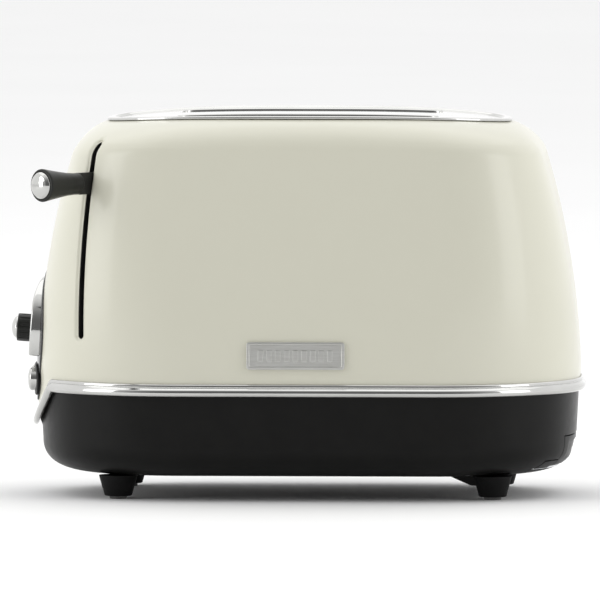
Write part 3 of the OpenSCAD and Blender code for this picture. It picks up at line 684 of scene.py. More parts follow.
# surface normals of the grid
du = np.roll(V, -1, 1) - np.roll(V, 1, 1)
dv = np.gradient(V, axis=0)
N = np.cross(du, dv)
N /= np.maximum(1e-9, np.linalg.norm(N, axis=2))[:, :, None]
cen = V[:, :, :2].mean(axis=1, keepdims=True)
if ((N[:, :, :2] * (V[:, :, :2] - cen)).sum() < 0):
    N = -N
# press the sheet in round the lever slot
colw = {COL0 + i: w for i, w in enumerate(W)}
for i in range(nr):
    if rowz[i] is None:
        continue
    z = rowz[i]
    for c, w in colw.items():
        dz = max(0.0, SLOT_LO + SLOT_W - z, z - (SLOT_HI - SLOT_W))
        d = math.hypot(w, dz) - SLOT_W
        if d < 2.2:
            V[i, c] -= N[i, c] * (1.15 * (1 - smooth(max(0.0, d) / 2.2)))
faces, hole_edges = [], []
for i in range(nr - 1):
    for j in range(nc):
        m = (j + 1) % nc
        q = (i * nc + j, i * nc + m, (i + 1) * nc + m, (i + 1) * nc + j)
        x, y, z = (V[i, j] + V[i, m] + V[i + 1, j] + V[i + 1, m]) / 4
        if x < -120 and abs(y) < (22.9 if 55 < z < 63 else 20.8) and 53 < z < 106:
            continue                                          # window behind the control panel
        if rowz[i] is not None and j in colw and m in colw:
            w0, w1, z0, z1 = colw[j], colw[m], rowz[i], rowz[i + 1]
            eps = 1e-3
            if max(abs(w0), abs(w1)) <= SLOT_W + eps and z0 >= SLOT_LO - eps and z1 <= SLOT_HI + eps:
                if z0 >= SLOT_LO + SLOT_W - eps and z1 <= SLOT_HI - SLOT_W + eps:
                    continue
                # cell in a round end: keep what lies outside the arc
                zc = SLOT_LO + SLOT_W if z1 < 120 else SLOT_HI - SLOT_W
                keep = []
                for (w, zz), k in zip(((w0, z0), (w1, z0), (w1, z1), (w0, z1)), q):
                    if math.hypot(w, zz - zc) >= SLOT_W - 1e-3:
                        keep.append(k)
                if len(keep) == 3:
                    faces.append(tuple(keep))
                elif len(keep) == 4:
                    faces.append(q)
                continue
        faces.append(q)
shell = make("outer_shell_skin", V.reshape(-1, 3), faces, "chassis", M["cream_paint"], "cream_paint", ["outer_shell"], fix=False)
bm = bmesh.new()
bm.from_mesh(shell.data)
loose = [v for v in bm.verts if not v.link_faces]
bmesh.ops.delete(bm, geom=loose, context="VERTS")
bmesh.ops.recalc_face_normals(bm, faces=bm.faces)
# lip of the lever slot, turned inwards
ldir = Vector((cos(math.radians(45)), sin(math.radians(45)), 0))
border = [e for e in bm.edges if e.is_boundary]
p0 = Vector((LP[0] + 6, LP[1], 0)) * MM
side = Vector((sin(math.radians(45)), -cos(math.radians(45)), 0))
ring_e = [e for e in border if all(abs((v.co - p0).dot(side)) < 2.4 * MM and 0.080 < v.co.z < 0.192 and v.co.x < -0.095 and v.co.y < -0.03
                                   for v in e.verts)]
for depth in (0.35, 0.3):
    ext = bmesh.ops.extrude_edge_only(bm, edges=ring_e)
    vs = [g for g in ext["geom"] if isinstance(g, bmesh.types.BMVert)]
    for v in vs:
        v.co += ldir * depth * MM
    ring_e = [g for g in ext["geom"] if isinstance(g, bmesh.types.BMEdge) and g.is_boundary
              and all(v in vs for v in g.verts)]
# the lip's inner edge, in order, for the black sheet of painted shade behind it
nxt = {}
for e in ring_e:
    for a, b in (e.verts, reversed(e.verts)):
        nxt.setdefault(a, []).append(b)
start = ring_e[0].verts[0]
chain, prev_v, cur_v = [], None, start
while True:
    chain.append(cur_v)
    step_v = [q for q in nxt[cur_v] if q is not prev_v][0]
    prev_v, cur_v = cur_v, step_v
    if cur_v is start:
        break
lip_loop = np.array([tuple(q.co) for q in chain]) / MM - OFF
bmesh.ops.recalc_face_normals(bm, faces=bm.faces)
if sum(f.normal.dot(f.calc_center_median() - Vector((0.006, 0, 0.1))) for f in bm.faces) < 0:
    bmesh.ops.reverse_faces(bm, faces=bm.faces)
bm.to_mesh(shell.data)
bm.free()
finish_mesh(shell.data, 38)
solidify(shell, WALL * 0.95)
# black sheet behind the lever slot: painted shade standing in for the dark inside of the slot
ld = np.array([cos(math.radians(45)), sin(math.radians(45)), 0.0])
sd = np.array([sin(math.radians(45)), -cos(math.radians(45)), 0.0])
lw = (lip_loop - np.array([LP[0], LP[1], 0])) @ sd
zlo, zhi = lip_loop[:, 2].min() + SLOT_W, lip_loop[:, 2].max() - SLOT_W
axis_pt = lip_loop - lw[:, None] * sd
axis_pt[:, 2] = np.clip(lip_loop[:, 2], zlo, zhi)
out_d = lip_loop - axis_pt
out_d -= (out_d @ ld)[:, None] * ld
out_d /= np.maximum(1e-6, np.linalg.norm(out_d, axis=1))[:, None]
lrings = [lip_loop + out_d * o + ld * d for o, d in ((-0.04, -0.25), (-0.1, -0.15), (-0.1, 3.0), (0.25, 3.0), (0.25, 0.1), (0.04, -0.2))]
v, f = loft(lrings, stack=True)
make("slot_liner", v, f, "chassis", M["black_coated_steel"], "black_coated_steel")


# ------------------------------------------------------------------ plan ring of the lower parts
def plan(a, b, r, n=64, ns=30, ne=6):
    pts = []
    for ox, oy, a0, m in ((a - r, b - r, 0, ns), (r - a, b - r, 90, ne), (r - a, r - b, 180, ns), (a - r, r - b, 270, ne)):
        for i in range(n + 1):
            t = math.radians(a0 + 90 * i / n)
            pts.append((ox + r * cos(t), oy + r * sin(t)))
        x, y = pts[-1]
        t = math.radians(a0 + 90)
        nxt = {0: (r - a, b), 90: (-a, r - b), 180: (a - r, -b), 270: (a, b - r)}[a0]
        pts += [(lerp(x, nxt[0], i / m), lerp(y, nxt[1], i / m)) for i in range(1, m)]
    return np.array(pts)


# waist trim: the same section as the CAD, with its corners rounded
prof = [(-3, -0.45), (0.2, -0.45), (0.2, -3.3), (1.3, -3.5), (2.4, -2.7), (2.9, -1.3), (2.6, 0.2), (1.7, 1.0), (1.3, 1.4),
        (1.7, 2.0), (1.6, 2.9), (0.9, 3.5), (0.2, 3.4), (0.2, 0.45), (-3, 0.45)]
rad = [0, 0, 0.2, 1.0, 1.4, 1.6, 1.4, 0.9, 0.35, 0.45, 0.7, 0.5, 0.2, 0, 0]
tp = fillet(prof, rad, n=5, closed=True)
trings = []
for o, dz in tp:
    p = plan(A0 + o, B0 + o, R0 + o, n=72)
    trings.append([(x, y, band_z(x, y) + dz) for x, y in p])
v, f = loft(trings, stack=True)
make("waist_trim", v, f, "chassis", M["bright_chrome"], "bright_chrome", ["trim_band"], angle=50)

# ------------------------------------------------------------------ base
LW = A0 - B0


def bring(a, z):
    return [(x, y, z) for x, y in plan(a, a - LW, a - 66)]


def base_a(z):
    return lerp(A0 - 2.5, A0 - 1, clamp01((z - 28) / 28)) if z > 28 else 111.5 + 30 * (1 - ((28 - z) / 18) ** 2.5) ** 0.4


brings = []
for k in range(25):
    psi = math.radians(90 * (1 - k / 24))
    s = sin(psi) ** 0.8
    brings.append(bring(111.5 + 30 * max(0.0, cos(psi)) ** 0.8, 28 - 18 * s))
for z in (30, 32, 34):
    brings.append(bring(base_a(z), z))
r34 = np.array(brings[-1])
rim = np.array([(x, y, band_z(x, y) - 0.6) for x, y in plan(A0 - 1, B0 - 1, A0 - 67)])
for t in (0.2, 0.4, 0.6, 0.8, 0.97, 1.0):
    brings.append(r34 + (rim - r34) * t)
inner = np.array([(x, y, band_z(x, y) - 0.6) for x, y in plan(A0 - 3.5, B0 - 3.5, A0 - 69.5)])
brings.append(inner)
for z in (34, 28, 23, 19, 16, 14, 12.9, 12.5):
    a = base_a(z) - 2.5 if z > 28 else 111.5 + 27.5 * max(0.0, 1 - ((28 - z) / 15.5) ** 2.5) ** 0.4
    brings.append(bring(a, z))
v, f = loft(brings, caps=True)
base = make("base_moulding", v, f, "chassis", M["black_satin_plastic"], "black_satin_plastic", ["base"])
cuts = [cutter(*box_mesh((98, -47, 12.7), (160, 47, 18.1))), cutter(*box_mesh((115, -34.5, 12.6), (175, 34.5, 30.6)))]
gland_m = frame_matrix((134.2, 38, 42), rot_z(21.8) @ rot_y(90))
v, f = lathe([(0, -20), (7.1, -20), (7.1, 20), (0, 20)], 64, gland_m)
cuts.append(cutter(v, f))
boss = [(sx * 86, sy * 61.5) for sx in (-1, 1) for sy in (-1, 1)]
for x, y in boss:                                             # recesses of the base screws
    v, f = lathe([(0, 5), (3.0, 5), (3.0, 11.9), (0, 11.9)], 48, frame_matrix((x, y, 0), np.eye(3)))
    cuts.append(cutter(v, f))
boolean(base, cuts, angle=35)
parts = []
for x, y in boss:
    m = frame_matrix((x, y, 0), np.eye(3))
    parts.append(lathe(fillet([(1.5, 12.3), (4, 12.3), (4, 19.9), (1.5, 19.9)], [0, 0, 0.4, 0.3], 3), 40, m))
for sx in (-1, 1):
    for sy in (-1, 1):
        m = frame_matrix((sx * 99.3, sy * 50, 0), np.eye(3))
        parts.append(lathe(fillet([(0, 12.4), (11, 12.4), (11, 12.9), (0, 12.9)], [0, 0, 0.3, 0], 3), 48, m))
v, f = join(parts)
make("base_bosses", v, f, "chassis", M["black_satin_plastic"], "black_satin_plastic")

# base screws, sunk in their recesses, with a cross in each head
parts, cross = [], []
for x, y in boss:
    m = frame_matrix((x, y, 0), np.eye(3))
    p = fillet([(0, 10.95), (1.6, 11.0), (2.6, 11.5), (2.6, 11.88), (1.3, 11.88), (1.3, 18.8), (0, 18.8)], [0, 1.0, 0.3, 0.05, 0.1, 0.2, 0], 4)
    parts.append(lathe(p, 48, m))
    cross.append(cutter(*box_mesh((x - 1.5, y - 0.22, 10.5), (x + 1.5, y + 0.22, 11.5))))
    cross.append(cutter(*box_mesh((x - 0.22, y - 1.5, 10.5), (x + 0.22, y + 1.5, 11.5))))
v, f = join(parts)
screws = make("base_screw_set", v, f, "chassis", M["bright_steel"], "bright_steel", ["base_screws"], angle=40)
boolean(screws, cross, angle=40)

# feet and their pads
parts, pads = [], []
for sx in (-1, 1):
    for sy in (-1, 1):
        m = frame_matrix((sx * 99.3, sy * 50, 0), np.eye(3))
        p = fillet([(0, -0.62), (5.3, -0.62), (5.5, -1), (7.2, -1), (10.2, 9.6), (10.2, 9.97), (0, 9.97)],
                   [0, 0.1, 0.1, 0.9, 0.2, 0, 0], 5)
        parts.append(lathe(densify(p, 1.5), 96, m))
        p = fillet([(0, -1.7), (2.4, -1.7), (2.7, -2.5), (4.6, -2.5), (4.6, -1.02), (0, -1.02)], [0, 0.1, 0.25, 0.4, 0.0, 0], 4)
        pads.append(lathe(p, 64, m))
v, f = join(parts)
make("feet_cones", v, f, "chassis", M["black_rubber_feet"], "black_rubber_feet", ["feet"])
v, f = join(pads)
make("foot_pad_discs", v, f, "chassis", M["grey_rubber_pads"], "grey_rubber_pads", ["foot_pads"])

# ------------------------------------------------------------------ top plate
PA, PB = 107.7, 59.9


def plate_loop(k):
    a, b = PA - k, PB - k
    return [tuple(q) for q in oval_pts(a, b, [(a * cos(2 * pi * i / 240), b * sin(2 * pi * i / 240)) for i in range(240)])]


def slot_loop(s, k):
    """k outwards from the slot's edge"""
    return rr_loop_fixed(69 + k, 15.5 + k, 6 + k, 14, 30, 6, cy=28 * s)


loops = [plate_loop(6.4), slot_loop(-1, 2.0)[::-1], slot_loop(1, 2.0)[::-1]]
vs, fs, idx = fill2d(loops, 5.0)
pv = [np.array([(x, y, 200.05 + crown_z(x)) for x, y in vs])]
pf = [tuple(q) for q in fs]
cnt = len(vs)
rim_prof = fillet([(6.4, 200.05), (4.9, 200.1), (3.9, 200.95), (1.2, 201.05), (0.0, 200.7), (0.0, 199.6), (1.0, 199.56)],
                  [0, 0.8, 0.9, 1.1, 0.5, 0.25, 0], 5)[1:]
lip_prof = fillet([(2.0, 200.05), (0.0, 200.05), (0.0, 192.3)], [0, 0.9, 0], 7)[1:]
prev = list(idx[0])
for k, z in rim_prof:
    lp = plate_loop(k)
    pv.append(np.array([(x, y, z + crown_z(x)) for x, y in lp]))
    ids = list(range(cnt, cnt + len(lp)))
    cnt += len(lp)
    n = len(ids)
    pf += [(prev[i], ids[i], ids[(i + 1) % n], prev[(i + 1) % n]) for i in range(n)]
    prev = ids
for s, il in ((-1, idx[1]), (1, idx[2])):
    prev = list(il)
    for k, z in lip_prof:
        lp = slot_loop(s, k)[::-1]
        pv.append(np.array([(x, y, z + crown_z(x)) for x, y in lp]))
        ids = list(range(cnt, cnt + len(lp)))
        cnt += len(lp)
        n = len(ids)
        pf += [(prev[i], ids[i], ids[(i + 1) % n], prev[(i + 1) % n]) for i in range(n)]
        prev = ids
plate = make("top_plate_sheet", np.vstack(pv), pf, "chassis", M["bright_chrome"], "bright_chrome", ["top_plate"], fix=True)
me = plate.data
up = sum(p.normal.z * p.area for p in me.polygons)
if up < 0:
    me.flip_normals()
solidify(plate, 0.8)

# ------------------------------------------------------------------ badge
badge_m = frame_matrix((-3.5, -sh_b(75.6) - 0.15, 75.6), rot_x(88.9))


def ring_plate(sizes, m):
    rings = []
    for a, b, r, z in sizes:
        rings.append([(x, y, z) for x, y in rr_loop_fixed(a, b, max(0.05, r), 8, 6, 3)])
    v, f = loft(rings, stack=True)
    return move(m, v), f


bz = fillet([(26, 0.0), (26, 1.4), (24.6, 1.4), (24.2, 0.85), (24.2, 0.0)], [0, 0.45, 0.35, 0.15, 0], 4)
v1, f1 = ring_plate([(a, a - 18.7, 1.6 - (26 - a) * 0.5, z) for a, z in bz], badge_m)
parts = [(v1, f1)]
field = rr_loop_fixed(24.3, 5.6, 0.8, 8, 12, 3)


def badge_top(p, drop):
    return move(badge_m, [(x, y, 0.9 - drop) for x, y in p])


v2, f2 = slab(lambda k: [rr_loop_fixed(24.25 - k, 5.55 - k, 0.8, 8, 12, 3)], [(0.0, 0.0), (0.0, 0.7)], badge_top,
              lambda p: badge_top(p, 0.85), 2.5)
parts.append((v2, f2))
make("badge_frame", *join(parts), "chassis", M["badge_metal"], "badge_metal", ["name_badge"], angle=40)
flutes = []
for i in range(-4, 5):
    pr = fillet([(0.0, 0.0), (0.0, 0.55), (0.9, 0.55)], [0, 0.45, 0], 6)
    rings = [[(x + i * 4.6, y, z + 0.85) for x, y in rr_loop_fixed(1.5 - k, 3.2 - k, max(0.08, 0.7 - k), 6, 2, 4)] for k, z in pr]
    v, f = loft(rings, caps=True)
    flutes.append((move(badge_m, v), f))
make("badge_flutes", *join(flutes), "chassis", M["badge_metal"], "badge_metal", angle=60)

# ------------------------------------------------------------------ control end
dial_m = frame_matrix((-143, 0, 84.5), rot_y(-86))
knob_z = 84.5


def on_end(o, ly, lx):
    """Point of the shell's end surface plus o, under dial-frame coordinates."""
    z = knob_z + 0.99756 * lx
    return (end_x(ly, z, o), ly, z)


def circle_loop(r, cx=0.0, cy=0.0, n=64, a0=0.0):
    return [(cx + r * cos(a0 + 2 * pi * i / n), cy + r * sin(a0 + 2 * pi * i / n)) for i in range(n)]


def hull_outline(k):
    """Panel outline in dial coordinates (x up, y across), inset by k: a big circle joined to two small lower ones."""
    cs = [((-1.0, 0.0), 33.0 - k), ((-31.0, 17.0), 6.0 - k), ((-31.0, -17.0), 6.0 - k)]
    out = []
    n = 720
    best = []
    for i in range(n):
        t = 2 * pi * i / n
        d = np.array([cos(t), sin(t)])
        j = max(range(3), key=lambda q: np.dot(d, cs[q][0]) + cs[q][1])
        best.append((j, t))
    # support points, thinned to a fixed count by angle
    for j, t in best[::5]:
        c, r = cs[j]
        out.append((c[0] + r * cos(t), c[1] + r * sin(t)))
    # extra points along the straight sides
    res = []
    for i in range(len(out)):
        p, q = out[i], out[(i + 1) % len(out)]
        res.append(p)
        gap = best[::5][i][0] != best[::5][(i + 1) % len(out)][0]
        if gap:
            res += [(lerp(p[0], q[0], s / 8), lerp(p[1], q[1], s / 8)) for s in range(1, 8)]
    return res


def dial_loop(k, rho=1.3, na=80, nf=8, nl=24):
    """Round face cut off straight below the knob, inset by k."""
    R, x0 = 28.0 - k, -13.2 + k
    rho = max(0.25, rho - 0.3 * k)
    cx = x0 + rho
    cy = sqrt((R - rho) ** 2 - cx ** 2)
    ang = math.atan2(cy, cx)
    out = []
    for i in range(na + 1):                                   # big arc through the top
        t = lerp(-ang, ang, i / na)
        out.append((R * cos(t), R * sin(t)))
    for i in range(1, nf + 1):
        t = lerp(ang, pi, i / nf)
        out.append((cx + rho * cos(t), cy + rho * sin(t)))
    for i in range(1, nl):
        out.append((x0, lerp(cy, -cy, i / nl)))
    for i in range(nf):
        t = lerp(pi, 2 * pi - ang, i / nf)
        out.append((cx + rho * cos(t), -cy + rho * sin(t)))
    return out


def dial_front(lx, k=0.0):
    return 4.6 - k if lx < 13.5 else -27.6 + sqrt((32.2 - k) ** 2 - (lx - 13.5) ** 2)


def button_hole(i, k):
    """In dial coordinates, so that the panel's holes sit round the buttons"""
    return circle_loop(6.5 + k, (58.8 - knob_z) / 0.99756, i * 17.0, 48)[::-1]


def panel_top(p, drop):
    return np.array([on_end(0.9 - drop, y, x) for x, y in p])


v, f = slab(lambda k: [hull_outline(k), dial_loop(-0.15 - 0 * k)[::-1]] + [button_hole(i, 0) for i in (-1, 0, 1)],
            [(0.55, 0.0), (0.25, 0.08), (0.08, 0.25), (0.0, 0.5), (0.0, 0.75)], panel_top,
            lambda p: np.array([on_end(0.1, y, x) for x, y in p]), 3.2)
make("panel_plate", v, f, "chassis", M["black_gloss_panel"], "black_gloss_panel", ["control_panel"], angle=45)


def sur_loops(k):
    cx = (58.8 - knob_z) / 0.99756
    outer = [(x + cx, y) for x, y in rr_loop_fixed(8.4 - k, 28 - k, 8.3 - k, 24, 2, 20)]
    return [outer] + [circle_loop(6.5 + k, cx, i * 17.0, 48)[::-1] for i in (-1, 0, 1)]


def sur_top(p, drop):
    return np.array([on_end(2.0 - drop, y, x) for x, y in p])


v, f = slab(sur_loops, [(0.6, 0.0), (0.3, 0.07), (0.1, 0.24), (0.0, 0.5), (0.0, 0.9)], sur_top,
            lambda p: np.array([on_end(0.95, y, x) for x, y in p]), 2.2)
make("button_boss", v, f, "chassis", M["black_satin_plastic"], "black_satin_plastic", ["button_surround"], angle=45)


def dial_pt(lx, ly, lz):
    return move(dial_m, [(lx, ly, lz)])[0]


def surf_lz(lx, ly, o):
    """Height over the dial frame of the end surface plus o."""
    x, y, z = on_end(o, ly, lx)
    return (-143 + 0.06976 * lx - x) / 0.99756


# chrome housing of the dial
steps = [(0.0, None), (0.0, 0.9), (0.1, 0.5), (0.3, 0.24), (0.65, 0.06), (1.0, 0.0), (2.3, 0.0), (2.65, 0.08), (2.9, 0.3), (3.0, 0.6), (3.0, 1.0)]
rings = []
for k, drop in steps:
    ring = []
    for lx, ly in dial_loop(k):
        lz = surf_lz(lx, ly, 0.13) if drop is None else dial_front(lx, 0) - drop
        ring.append((lx, ly, lz))
    rings.append(ring)
for j in range(1, 4):                                         # more rows on the side wall
    t = j / 4
    mid = [(a[0], a[1], lerp(a[2], b[2], t)) for a, b in zip(rings[0], rings[j if j == 1 else 1 + (j - 1)])]
    rings.insert(j, mid)
side0, side1 = rings[0], rings[4]
for j in range(1, 4):
    rings[j] = [(a[0], a[1], lerp(a[2], b[2], j / 4)) for a, b in zip(side0, side1)]
inner_floor = rings[-1]
shaft = circle_loop(3.5, 0, 0, len(inner_floor), a0=math.atan2(inner_floor[0][1], inner_floor[0][0]))
for t in (0.35, 0.7, 1.0):
    rings.append([(lerp(p[0], q[0], t), lerp(p[1], q[1], t), dial_front(lerp(p[0], q[0], t), 1.0)) for p, q in zip(inner_floor, shaft)])
rings.append([(q[0], q[1], 0.9) for q in shaft])
v, f = loft(rings, stack=True)
make("dial_housing", move(dial_m, v), f, "chassis", M["bright_chrome"], "bright_chrome", ["dial_bezel"], angle=40)

# white scale with its figures and ticks
shaft_loop = [circle_loop(3.7, 0, 0, 48)[::-1]]


def scale_top(p, drop):
    return move(dial_m, [(x, y, dial_front(x, 0.35) - drop) for x, y in p])


v, f = slab(lambda k: [dial_loop(3.12 + k)] + shaft_loop, [(0.25, 0.0), (0.05, 0.1), (0.0, 0.25), (0.0, 0.55)], scale_top,
            lambda p: move(dial_m, [(x, y, dial_front(x, 0.93)) for x, y in p]), 2.6)
make("dial_card", v, f, "chassis", M["dial_face_white"], "dial_face_white", ["dial_scale"], angle=40)

marks = []


def flat_mark(loop, h0=-0.02, h1=0.03):
    """Thin raised mark on the dial card, from a 2-D loop."""
    vs, fs, ids = fill2d([loop], 1.2)
    n = len(vs)
    top = [(x, y, dial_front(x, 0.35) + h1) for x, y in vs]
    bot = [(x, y, dial_front(x, 0.35) + h0) for x, y in vs]
    f = [tuple(q) for q in fs] + [tuple(n + i for i in reversed(q)) for q in fs]
    lp = ids[0]
    m = len(lp)
    f += [(lp[i], lp[(i + 1) % m], n + lp[(i + 1) % m], n + lp[i]) for i in range(m)]
    return move(dial_m, top + bot), f


angles = [-100, -60, -20, 20, 60, 100]
for k in range(-10, 11):
    a = math.radians(k * 10)
    big = (k * 10) in angles
    r0, r1, w = (10.6, 12.9, 0.32) if big else (11.3, 12.4, 0.18)
    c, s = cos(a), sin(a)
    loop = [(r * c - q * s, -(r * s + q * c)) for r, q in ((r0, -w), (r1, -w), (r1, w), (r0, w))]
    marks.append(flat_mark(loop))
v, f = join(marks)
make("dial_ticks", v, f, "chassis", M["black_gloss_panel"], "black_gloss_panel")
for k, a in enumerate(angles):
    cu = bpy.data.curves.new("figure", "FONT")
    cu.body = str(k + 1)
    cu.size = 5.0
    cu.align_x = "CENTER"
    cu.align_y = "CENTER"
    cu.extrude = 0.03
    cu.resolution_u = 6
    tmp = bpy.data.objects.new("figure", cu)
    bpy.context.scene.collection.objects.link(tmp)
    dg = bpy.context.evaluated_depsgraph_get()
    me = bpy.data.meshes.new_from_object(tmp.evaluated_get(dg), depsgraph=dg)
    bm = bmesh.new()
    bm.from_mesh(me)
    bmesh.ops.remove_doubles(bm, verts=bm.verts, dist=1e-5)
    bm.to_mesh(me)
    bm.free()
    co = np.array([p.co for p in me.vertices])
    ar = math.radians(a)
    R = 16.6
    gx, gy = co[:, 0] - (co[:, 0].min() + co[:, 0].max()) / 2, co[:, 1] - (co[:, 1].min() + co[:, 1].max()) / 2
    lx = R * cos(ar) + gy
    ly = -(R * sin(ar) + gx)
    lz = np.array([dial_front(q, 0.35) for q in lx]) + co[:, 2] + 0.01
    pts = move(dial_m, np.stack([lx, ly, lz], 1))
    fs = [tuple(p.vertices) for p in me.polygons]
    bpy.data.objects.remove(tmp)
    make(f"dial_figure_{k + 1}", pts, fs, "chassis", M["black_gloss_panel"], "black_gloss_panel", angle=30)

# knob with its shallow flutes and domed cap
KR = 7.35


def knob_flute(r, z, t):
    if z < 5.3 or z > 11.6 or r < 6:
        return r
    d = math.degrees(t) % 30 - 15
    d = math.radians(d)
    c = 7.95 + max(0.0, z - 10.6) ** 2 * 0.5 + max(0.0, 5.9 - z) ** 2 * 0.8
    k = 1 - (c * sin(d)) ** 2
    return min(r, c * cos(d) - sqrt(k)) if k > 0 else r


kp = fillet([(0, 4.95), (7.35, 4.95), (7.35, 12.75), (6.05, 12.75), (6.05, 12.3), (0, 12.3)], [0, 0.3, 1.0, 0.2, 0.1, 0], 7)
v, f = lathe(densify(kp, 0.7), 240, dial_m, knob_flute)
make("knob_body", v, f, "knob", M["black_handle_plastic"], "black_handle_plastic", ["browning_knob"], angle=42)
cp = fillet([(0, 12.35), (5.9, 12.35), (5.95, 13.3), (4.9, 14.6), (3.2, 15.4), (1.5, 15.82), (0, 15.9)], [0, 0, 0.6, 1.5, 3, 6, 0], 6)
v, f = lathe(densify(cp, 0.6), 96, dial_m)
make("knob_dome", v, f, "knob", M["bright_chrome"], "bright_chrome", ["knob_cap"], angle=50)
pv_ = [(6.25, -0.3), (7.0, -0.3), (7.0, 0.3), (6.25, 0.3)]
v, f = loft([[(x, y, 12.6) for x, y in pv_], [(x, y, 12.79) for x, y in pv_]], caps=True)
make("knob_pointer", move(dial_m, v), f, "knob", M["dial_face_white"], "dial_face_white")

# push buttons
for nm, i in (("cancel_button", -1), ("reheat_button", 0), ("defrost_button", 1)):
    m = frame_matrix((-144, i * 17.0, 58.8), rot_y(-90))
    p = fillet([(0, -9.9), (2, -9.9), (2, -3.6), (7.3, -3.6), (7.3, -2.6), (6.2, -2.6), (6.2, 3.5), (5.4, 4.35), (3.0, 5.05), (0, 5.2)],
               [0, 0.2, 0.2, 0.2, 0.2, 0.2, 1.2, 2.2, 6, 0], 6)
    v, f = lathe(densify(p, 0.8), 96, m)
    make(nm + "_cap", v, f, nm + "_body", M["bright_chrome"], "bright_chrome", [nm], angle=50)

# ------------------------------------------------------------------ lever
LZ = 165.4
lever_m = frame_matrix((LP[0], LP[1], LZ), rot_z(225) @ rot_y(90))     # local z outwards
hp = [(0, 11.8), (5.4, 11.8), (5.75, 12.2), (5.75, 15), (6.1, 20), (6.8, 25), (7.6, 30), (8.3, 34), (8.7, 36.2), (8.75, 36.9), (8.55, 37.4),
      (7.5, 37.62), (7.3, 37.3), (0, 37.3)]
hp = fillet(hp, [0, 0.4, 0.4, 8, 20, 20, 20, 8, 1.5, 0.6, 0.4, 0.15, 0.1, 0], 6)
v, f = lathe(densify(hp, 1.4), 128, lever_m)
make("lever_grip", v, f, "carriage", M["black_handle_plastic"], "black_handle_plastic", ["lever_handle"], angle=42)
cp = fillet([(0, 37.32), (7.13, 37.32), (7.13, 38.1), (6.0, 39.5), (4.0, 40.35), (2.0, 40.72), (0, 40.8)], [0, 0, 0.8, 1.6, 4, 8, 0], 7)
v, f = lathe(densify(cp, 0.7), 128, lever_m)
make("lever_end_cap", v, f, "carriage", M["bright_chrome"], "bright_chrome", ["lever_cap"], angle=50)

# ------------------------------------------------------------------ tray handle


def ring_x(a, y):
    return 66 + sqrt((a - 66) ** 2 - max(0.0, abs(y) - 8) ** 2)


def handle_section(y, k):
    """Section of the handle at y, inset by k."""
    zs = [14.9, 16.2, 17.8, 19.4, 21, 22.6, 24.2, 25.8, 27.4, 28.8, 29.5]
    pts = []
    z0, z1 = 14.2 + k, 30.2 - k

    def xo(z):
        scoop = 1.1 * smooth((z - 18.2) / 2.4) * smooth((27.6 - z) / 2.4) * smooth((27 - abs(y)) / 4)
        return ring_x(base_a(z) - 0.2 - k, y) - scoop
    pts.append((xo(z0) - 0.75, z0))
    pts.append((xo(z0) - 0.32, z0 + 0.1))
    pts.append((xo(z0) - 0.08, z0 + 0.32))
    pts += [(xo(z), z) for z in zs]
    pts.append((xo(z1) - 0.08, z1 - 0.32))
    pts.append((xo(z1) - 0.32, z1 - 0.1))
    pts.append((xo(z1) - 0.75, z1))
    xi = ring_x(136.25, y) + k
    pts.append((xi + 0.5, z1))
    pts.append((xi, z1 - 0.5))
    pts.append((xi, 17.8))
    pts.append((xi - 0.3, 17.43))
    xt = ring_x(132.75, y) + k
    pts.append((xt, 17.43))
    pts.append((xt, z0))
    return pts


ys = [-34.0, -33.9, -33.6, -33.2] + [-33.2 + 66.4 * i / 46 for i in range(1, 46)] + [33.2, 33.6, 33.9, 34.0]
rings = []
for y in ys:
    d = 34.0 - abs(y)
    k = 0.55 * (1 - sqrt(max(0.0, 1 - (1 - clamp01(d / 0.8)) ** 2)))
    rings.append([(x, y, z) for x, z in handle_section(y, k)])
v, f = loft(rings, caps=True)
pull = [(v, f)]
for sg in (-1, 1):                                            # lip of the tray beside the pull
    rings = []
    for i in range(25):
        ay = lerp(33.9, 46.0, i / 24)
        k = 0.4 * (1 - sqrt(max(0.0, 1 - (1 - clamp01((46.0 - ay) / 0.6)) ** 2)))
        o = [(ring_x(base_a(z) - 0.2 - k, ay), z) for z in (13.9, 14.6, 15.4, 16.2, 17.0, 17.4)]
        sec = [(o[0][0] - 0.5, 13.5 + k)] + o + [(o[-1][0] - 0.2, 17.7 - k)]
        sec += [(ring_x(132.75, ay) + k, 17.7 - k), (ring_x(132.75, ay) + k, 15.6), (ring_x(132.75, ay) + k - 0.1, 14.4)]
        sec = [(max(x, ring_x(132.7, ay) + k - 0.1 if z > 14 else x), z) for x, z in sec]
        rings.append([(x, sg * ay, z) for x, z in sec])
    pull.append(loft(rings, caps=True))
make("tray_pull", *join(pull), "crumb_tray", M["black_satin_plastic"], "black_satin_plastic", ["crumb_tray_handle"], angle=40)

# ------------------------------------------------------------------ cord inlet
p = fillet([(3.6, -10.9), (9, -10.9), (9, -8.1), (7.0, -8.1), (7.0, 1.6), (9.2, 1.6), (9.2, 3.45), (6.2, 3.9), (4.4, 3.7), (3.6, 3.2)],
           [0.1, 0.4, 0.3, 0.1, 0.1, 0.3, 0.9, 0.6, 0.6, 0.1], 5)
v, f = lathe(p, 80, gland_m)
make("cord_inlet_ring", v, f, "chassis", M["black_satin_plastic"], "black_satin_plastic", ["cord_gland"], angle=42)

